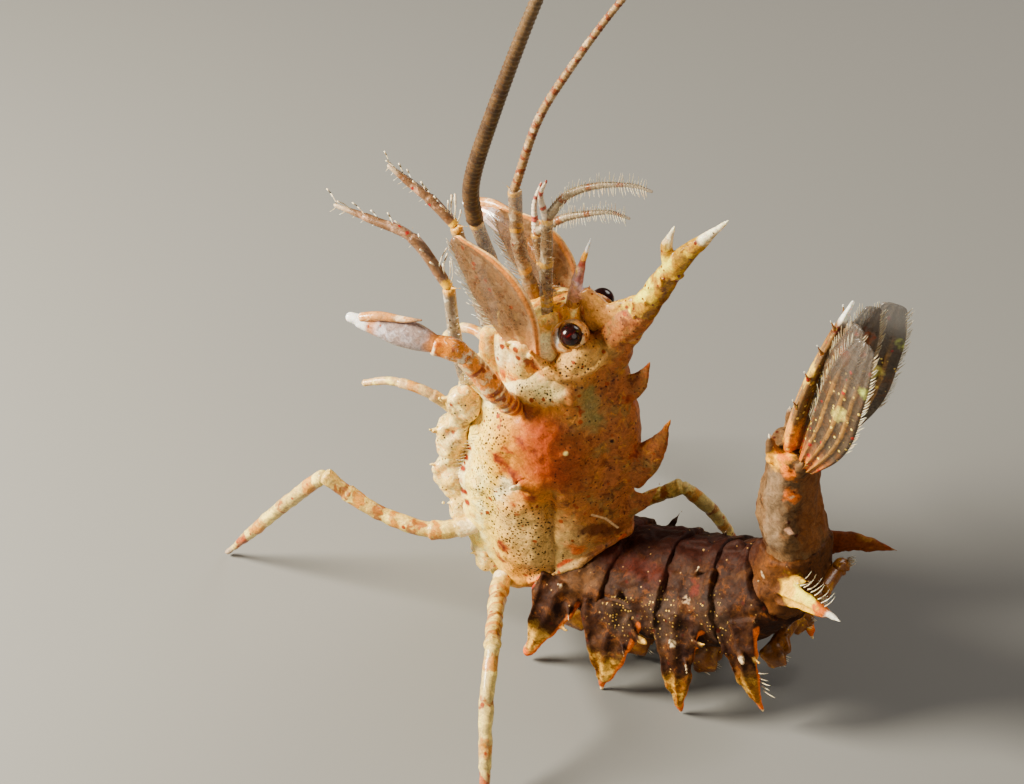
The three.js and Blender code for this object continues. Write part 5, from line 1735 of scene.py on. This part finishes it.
# %% Shape of the tail fan
telson_mesh = bmesh.new()
loft(telson_mesh, TELSON, [(1.3, 0.52), (1.34, 0.46), (1.2, 0.42), (0.9, 0.36), (0.5, 0.28),
                           (0.08, 0.08)], 48, 60, across=(0, 1, 0), section=telson_section,
     domes=(0.5, 1.2))
for share, out_by in ((0.3, 1.2), (0.5, 1.12), (0.68, 0.92), (0.84, 0.62)):
    middle = even_path(TELSON, 50)[round(share * 50)]
    for side in (LEFT, RIGHT):
        root = middle + Vector((-0.1, side * out_by, 0))
        thorn(telson_mesh, root, root + Vector((-0.2, side * 0.2, 0.6)), 0.15, segments=8)
telson = piece("tail_middle_blade", telson_mesh)
paint = tail_paint("tail middle blade", wet(112, 84, 56), wet(186, 132, 62), 0.97)
paint.over(wet(255, 250, 236), paint.step(paint.stored("share"), 0.84, 0.9))
paint.patch(DARK_RED, (12.0, 0.3, 27.2), None, 0.3, 0.4, 0.9)
paint.patch(wet(255, 214, 110), (11.0, 0.6, 24.6), (10.8, 0.6, 23.6), 0.35, 0.5, 0.9)
paint.patch(wet(250, 170, 90), (10.0, 0.8, 19.8), (10.2, 0.8, 20.6), 0.5, 0.5, 0.9)
dress(telson, ["telson"], paint.done())

paint = tail_paint("tail outer blade", hue(70, 56, 42), hue(156, 110, 50), 0.62)
paint.patch(hue(216, 198, 90), (13.6, 2.2, 23.6), (13.1, 2.0, 23.2), 0.28, 0.8, 0.9)
paint.patch(hue(176, 184, 84), (14.7, 2.5, 25.4), (14.5, 2.5, 25.6), 0.22, 0.8, 0.9)
outer_material = paint.done()
paint = tail_paint("tail inner blade", hue(78, 61, 44), hue(150, 106, 46), 0.7)
paint.patch(hue(170, 80, 26), (12.8, 1.2, 26.6), (13.1, 1.2, 26.3), 0.26, 0.9, 0.8)
paint.patch(wet(255, 252, 244), (12.4, 1.6, 25.4), None, 0.18, 0.4, 0.9)
inner_material = paint.done()
for side, word in SIDES:
    for name, path, sizes, slant, dome, material in (
            ("outer", OUTER_BLADE, OUTER_SIZES, OUTER_SLANT, 1.6, outer_material),
            ("inner", INNER_BLADE, INNER_SIZES, INNER_SLANT, 1.4, inner_material)):
        blade_mesh = bmesh.new()
        loft(blade_mesh, on_side(side, path), sizes, 64, 50, across=slanted(side, slant),
             section=blade_section, domes=(0.5, dome))
        blade = piece(f"tail_{name}_blade_{word}", blade_mesh)
        dress(blade, [f"uropod_{name}_{word}"], material)

# %% [markdown]
# Swimming paddles
# Under each of the first five rings hangs a pair of paddles. They are brown, thin and leaf-like,
# with two leaves on each side, and from the front left only their edges show between the flaps.

# %% Swimming paddles
PADDLES = [(2.9, 0.75), (2.95, 0.9), (2.95, 0.95), (2.8, 0.7), (2.1, 0.25)]
paint = Paint("paddle", wet(112, 70, 34), coat=0.3)
paint.clouds(wet(170, 122, 66), 0.9, 0.5, 0.66, strength=0.7)
paint.clouds(wet(56, 28, 10), 1.1, 0.52, 0.68, strength=0.7)
paint.freckles(GOLD, 3.4, 0.2, 0.3)
paddle_material = paint.done()
paddle_edges = []
for index, (low, reach) in enumerate(PADDLES):
    middle, ahead, up = abdomen_at((RING_ENDS[index] + RING_ENDS[index + 1]) / 2)
    paddle_mesh = bmesh.new()

    def hung(y, below, along):
        return middle - up * below + ahead * along + Vector((0, y, 0))

    loft(paddle_mesh, [hung(-1.7, low, 0), hung(0, low, 0), hung(1.7, low, 0)], [0.44], 14, 12)
    for side, word in SIDES:
        leaf = [hung(side * 1.6, low - 0.1, 0), hung(side * 1.9, low + 0.7 * reach, -0.5 * reach),
                hung(side * 1.9, low + 1.5 * reach, -1.2 * reach)]
        sizes = [(0.42, 0.36), (0.8, 0.3), (0.86, 0.26), (0.3, 0.18)]
        if index == 4:
            sizes = [(0.3, 0.26), (0.42, 0.2), (0.4, 0.18), (0.2, 0.14)]
        loft(paddle_mesh, leaf, sizes, 24, 20, across=ahead, domes=(0.4, 1.2))
        small = [p + Vector((0, -side * 0.75, 0)) + ahead * 0.3 for p in leaf]
        loft(paddle_mesh, small, [(0.3, 0.25), (0.55, 0.2), (0.2, 0.14)], 20, 16, across=ahead,
             domes=(0.4, 1.2))
        paddle_edges.append((leaf, side, ahead, up))
    paddles = piece(f"paddles_{index + 1}", paddle_mesh)
    roughen(paddles, 0.6, 0.05)
    dress(paddles, [f"pleopods_{index + 1}"], paddle_material)
print("abdomen and tail done")

# %% [markdown]
# Bristles
# Fringes of fine bristles line the tail blades, scales, flaps and mouth legs. One bristle is a thin
# four-sided cone of few faces, extruded in four steps and bent. Its copies are set along an edge with
# a seeded random lean, and joined by region. Each region gets the UV map OFBake, in which a
# bristle has a small patch of its own at its root's place on the unrolled edge.

# %% Bristle helpers
BRISTLE_STEPS = 4


def bristle_mesh(length, radius, bend, club=0.0):
    """One bristle, upright at the origin; `club` swells its end."""
    bm = bmesh.new()
    bmesh.ops.create_circle(bm, cap_ends=True, segments=4, radius=radius * MM)
    top = bm.faces[:]

    def thickness(share):
        if club and share > 0.6:
            return 1 + club * (share - 0.6)
        return 1 - 0.8 * share ** 1.5

    for step in range(1, BRISTLE_STEPS + 1):
        made = bmesh.ops.extrude_face_region(bm, geom=top)["geom"]
        top = [item for item in made if isinstance(item, bmesh.types.BMFace)]
        verts = list(dict.fromkeys(vert for face in top for vert in face.verts))
        share, before = step / BRISTLE_STEPS, (step - 1) / BRISTLE_STEPS
        middle = sum((v.co for v in verts), Vector()) / len(verts)
        for vert in verts:
            vert.co = middle + (vert.co - middle) * thickness(share) / thickness(before)
            vert.co.z = length * share * MM
            vert.co.y += bend * length * (share ** 2 - before ** 2) * MM
    bmesh.ops.recalc_face_normals(bm, faces=bm.faces[:])
    mesh = bpy.data.meshes.new("bristle")
    bm.to_mesh(mesh)
    bm.free()
    return mesh


def fringe(rows, name, material, seed):
    """Rows of bristles: edge points, pointing directions, length, count, radius, bend, club."""
    luck = random.Random(seed)
    joined = bmesh.new()
    uv_patches = []
    for row_index, (edge, directions, length, count, radius, bend, club) in enumerate(rows):
        templates = [bristle_mesh(length * scale, radius, bend * lean, club)
                     for scale, lean in ((0.8, 0.6), (1.0, 1.0), (1.15, 1.4))]
        points = even_path(edge, max(count - 1, 1))
        for i in range(count):
            share = i / max(count - 1, 1)
            way = size_way(directions, share)
            way += Vector((luck.uniform(-0.16, 0.16), luck.uniform(-0.16, 0.16),
                           luck.uniform(-0.16, 0.16)))
            turn = way.normalized().to_track_quat("Z", "Y").to_matrix().to_4x4()
            spin = Matrix.Rotation(luck.uniform(-0.5, 0.5), 4, "Z")
            copy = templates[luck.randrange(3)].copy()
            copy.transform(Matrix.Translation(place(points[i])) @ turn @ spin)
            joined.from_mesh(copy)
            bpy.data.meshes.remove(copy)
            uv_patches.append((0.05 + 0.9 * share, (row_index + 0.5) / len(rows)))
        for template in templates:
            bpy.data.meshes.remove(template)
    uv_layer = joined.loops.layers.uv.new("OFBake")
    joined.faces.ensure_lookup_table()
    each = len(joined.faces) // len(uv_patches)
    for index, face in enumerate(joined.faces):
        u, v = uv_patches[min(index // each, len(uv_patches) - 1)]
        for corner, loop in enumerate(face.loops):
            step = (index % each) / each
            loop[uv_layer].uv = (u + 0.003 * ((corner % 2) * 0.1 + step * 0.9),
                                 v + 0.003 * (corner // 2))
    made = piece(name, joined)
    finish_piece(made, material)
    print(name, "has", len(uv_patches), "bristles and", len(made.data.polygons), "faces")


def size_way(directions, share):
    """A direction between the given ones."""
    ways = [Vector(d) for d in directions]
    return ways[0].copy() if len(ways) == 1 else through(ways, share)


paint = Paint("bristle", wet(214, 200, 172), depth=0.1)
paint.clouds(wet(176, 140, 104), 0.8, 0.5, 0.64, strength=0.6)
paint.clouds(wet(250, 250, 240), 1.0, 0.54, 0.66, strength=0.7)
bristle_material = paint.done()


def blade_edge(path, across, sizes, edge, start=0.2, end=1.0, steps=8):
    """Points along one edge of a blade: edge -1 or 1 is the side."""
    middles = even_path(path, 40)
    found = []
    for step in range(steps + 1):
        share = start + (end - start) * step / steps
        i = min(round(share * 40), 39)
        ahead = (middles[i + 1] - middles[i]).normalized()
        side = square_to(Vector(across), ahead)
        found.append(middles[i] + side * edge * size_at(sizes, share).x * 0.97)
    return found


print("bristle helpers ready")

# %% [markdown]
# Where the bristles are
# The tail blades have the closest fringe, and the clubbed bristles of the mouth legs are long and
# few. The fourth flaps and the left fifth one have a short comb at the rear edge. The shield's lower
# edge, the paddles and the upper halves of the legs bear some short bristles.

# %% Bristles of the animal
tail_rows = []
for side, word in SIDES:
    for path, sizes, slant in ((OUTER_BLADE, OUTER_SIZES, OUTER_SLANT),
                               (INNER_BLADE, INNER_SIZES, INNER_SLANT)):
        path, across = on_side(side, path), slanted(side, slant)
        for edge in (-1, 1):
            rim = blade_edge(path, across, sizes, edge, 0.3, 1.0)
            out_way = Vector(across) * edge
            tail_rows.append((rim, [out_way * 0.8 + Vector((0.3, 0, 0.9)),
                                    out_way * 0.5 + Vector((0.3, 0, 1.0))], 0.6, 34, 0.035, 0.12, 0))
fringe(tail_rows, "tail_bristles", bristle_material, 4)

head_rows = []


def head_row(path, first, last, ways, length, count, radius, bend, club=0, steps=6):
    """A row of bristles along a limb of the head, between two shares of its length."""
    head_rows.append((even_path(path, steps, first, last), ways, length, count, radius, bend, club))


for path, across in SCALES.values():
    rim = blade_edge(path, across, SCALE_SIZES, -1, 0.25, 1.0)
    out_way = -Vector(across)
    head_rows.append((rim, [out_way + Vector((-0.3, 0, 0.4)), out_way * 0.3 + Vector((-0.8, 0, 0.9))],
                      0.85, 26, 0.045, 0.25, 0))
UP_WAY, DOWN_WAY = (-0.15, -0.1, 1.0), (-0.5, -0.5, -0.8)
for lower, upper in MAXILLIPEDS.values():
    head_row(upper, 0.12, 0.98, [UP_WAY, UP_WAY], 0.9, 9, 0.04, -0.3, club=1.4)
    head_row(upper, 0.3, 0.98, [DOWN_WAY, DOWN_WAY], 0.45, 10, 0.035, 0.2)
    head_row(upper, 0.0, 0.1, [(0.6, 0, 1.0), UP_WAY], 1.4, 5, 0.04, 0.4, club=1.6)
    head_row(lower, 0.3, 0.95, [(0.9, -0.6, 0.2), (0.9, -0.4, 0.5)], 0.6, 9, 0.04, 0.2)
for stem, outer, inner in ANTENNULES.values():
    head_row(outer, 0.1, 0.95, [(-0.2, -0.3, 1.0), (0.4, -0.3, 1.0)], 0.7, 40, 0.03, 0.15, steps=8)
    head_row(outer, 0.2, 0.95, [(0.2, -0.6, -0.8), (0.6, -0.6, -0.7)], 0.6, 36, 0.03, 0.15, steps=8)
    head_row(stem, 0.1, 0.95, [(0.9, -0.5, 0.4), (0.9, -0.5, 0.4)], 0.5, 14, 0.035, 0.2)
for base, long_whip, radius, ring_length in ANTENNAE.values():
    head_row(base, 0.2, 0.98, [(-0.8, -0.6, 0.4), (-0.8, -0.5, 0.6)], 0.5, 12, 0.035, 0.2)
fringe(head_rows, "head_bristles", bristle_material, 9)

body_rows = []
for side, word in SIDES:
    comb = on_side(side, [(10.15, -3.9, 4.6), (10.45, -3.8, 3.9), (10.7, -3.7, 3.2)])
    body_rows.append((comb, [(1.0, side * 0.2, -0.3)], 0.7, 5, 0.045, 0.35, 0))
    if side == LEFT:
        comb = [(11.9, -2.9, 11.3), (12.9, -3.3, 11.4), (13.9, -3.6, 11.0)]
        body_rows.append((comb, [(0.9, 0.3, 0.6)], 0.95, 9, 0.038, 0.35, 0))
    comb = on_side(side, [(-7.8, -4.0, 15.2), (-9.0, -3.7, 12.4), (-9.6, -3.4, 9.6)])
    body_rows.append((comb, [(-0.8, side * 0.5, -0.3)], 0.4, 18, 0.035, 0.2, 0))
for leaf, side, ahead, up in paddle_edges:
    tip, before = Vector(leaf[2]), Vector(leaf[1])
    body_rows.append(([before + ahead * 0.6, tip + ahead * 0.15], [ahead * 0.7 - up * 0.6], 0.6, 8,
                      0.04, 0.15, 0))
for path, cuts in LEGS.values():
    body_rows.append((even_path(path, 6, 0.3, 0.92), [(0.4, -0.5, 0.8)], 0.3, 9, 0.03, 0.2, 0))
fringe(body_rows, "body_bristles", bristle_material, 17)

# %% [markdown]
# Floor, light and air
# The stage is a plain pale floor. A wide lamp from the upper left is the main light, a second one
# fills the shadow side, and a third stands behind, so that clear parts glow at their edges. The
# lamps are small and near, because the whole animal is only five centimetres tall.

# %% Stage
floor_mesh = bmesh.new()
bmesh.ops.create_circle(floor_mesh, cap_ends=True, segments=96, radius=0.9)
floor_data = bpy.data.meshes.new("floor")
floor_mesh.to_mesh(floor_data)
floor_mesh.free()
floor = bpy.data.objects.new("floor", floor_data)
bpy.context.scene.collection.objects.link(floor)
floor_look = bpy.data.materials.new("pale floor")
floor_look.use_nodes = True
floor_inputs = floor_look.node_tree.nodes["Principled BSDF"].inputs
floor_inputs["Base Color"].default_value = (0.16, 0.157, 0.15, 1)
floor_inputs["Roughness"].default_value = 0.85
floor.data.materials.append(floor_look)


def lamp(name, at, aim, size, power, colour):
    """A round lamp at a place, turned to what it aims at; both are in the animal's millimetres."""
    data = bpy.data.lights.new(name, "AREA")
    data.shape, data.size, data.energy, data.color = "DISK", size, power, colour
    made = bpy.data.objects.new(name, data)
    made.location = place(at)
    made.rotation_euler = (place(at) - place(aim)).to_track_quat("Z", "Y").to_euler()
    bpy.context.scene.collection.objects.link(made)


lamp("main light", (-118, -66, 92), (-2, 0, 14), 0.06, 1.35, (1.0, 0.93, 0.76))
lamp("fill light", (110, -70, 70), (0, 0, 12), 0.12, 0.08, (1.0, 0.94, 0.82))
lamp("rim light", (30, 120, 110), (0, 0, 16), 0.08, 0.14, (1.0, 0.94, 0.86))
sky = bpy.data.worlds.new("air")
sky.use_nodes = True
sky_inputs = sky.node_tree.nodes["Background"].inputs
sky_inputs["Color"].default_value = (1.0, 0.92, 0.8, 1)
sky_inputs["Strength"].default_value = 0.11
bpy.context.scene.world = sky
print("triangles in all:", sum(made_triangles.values()))
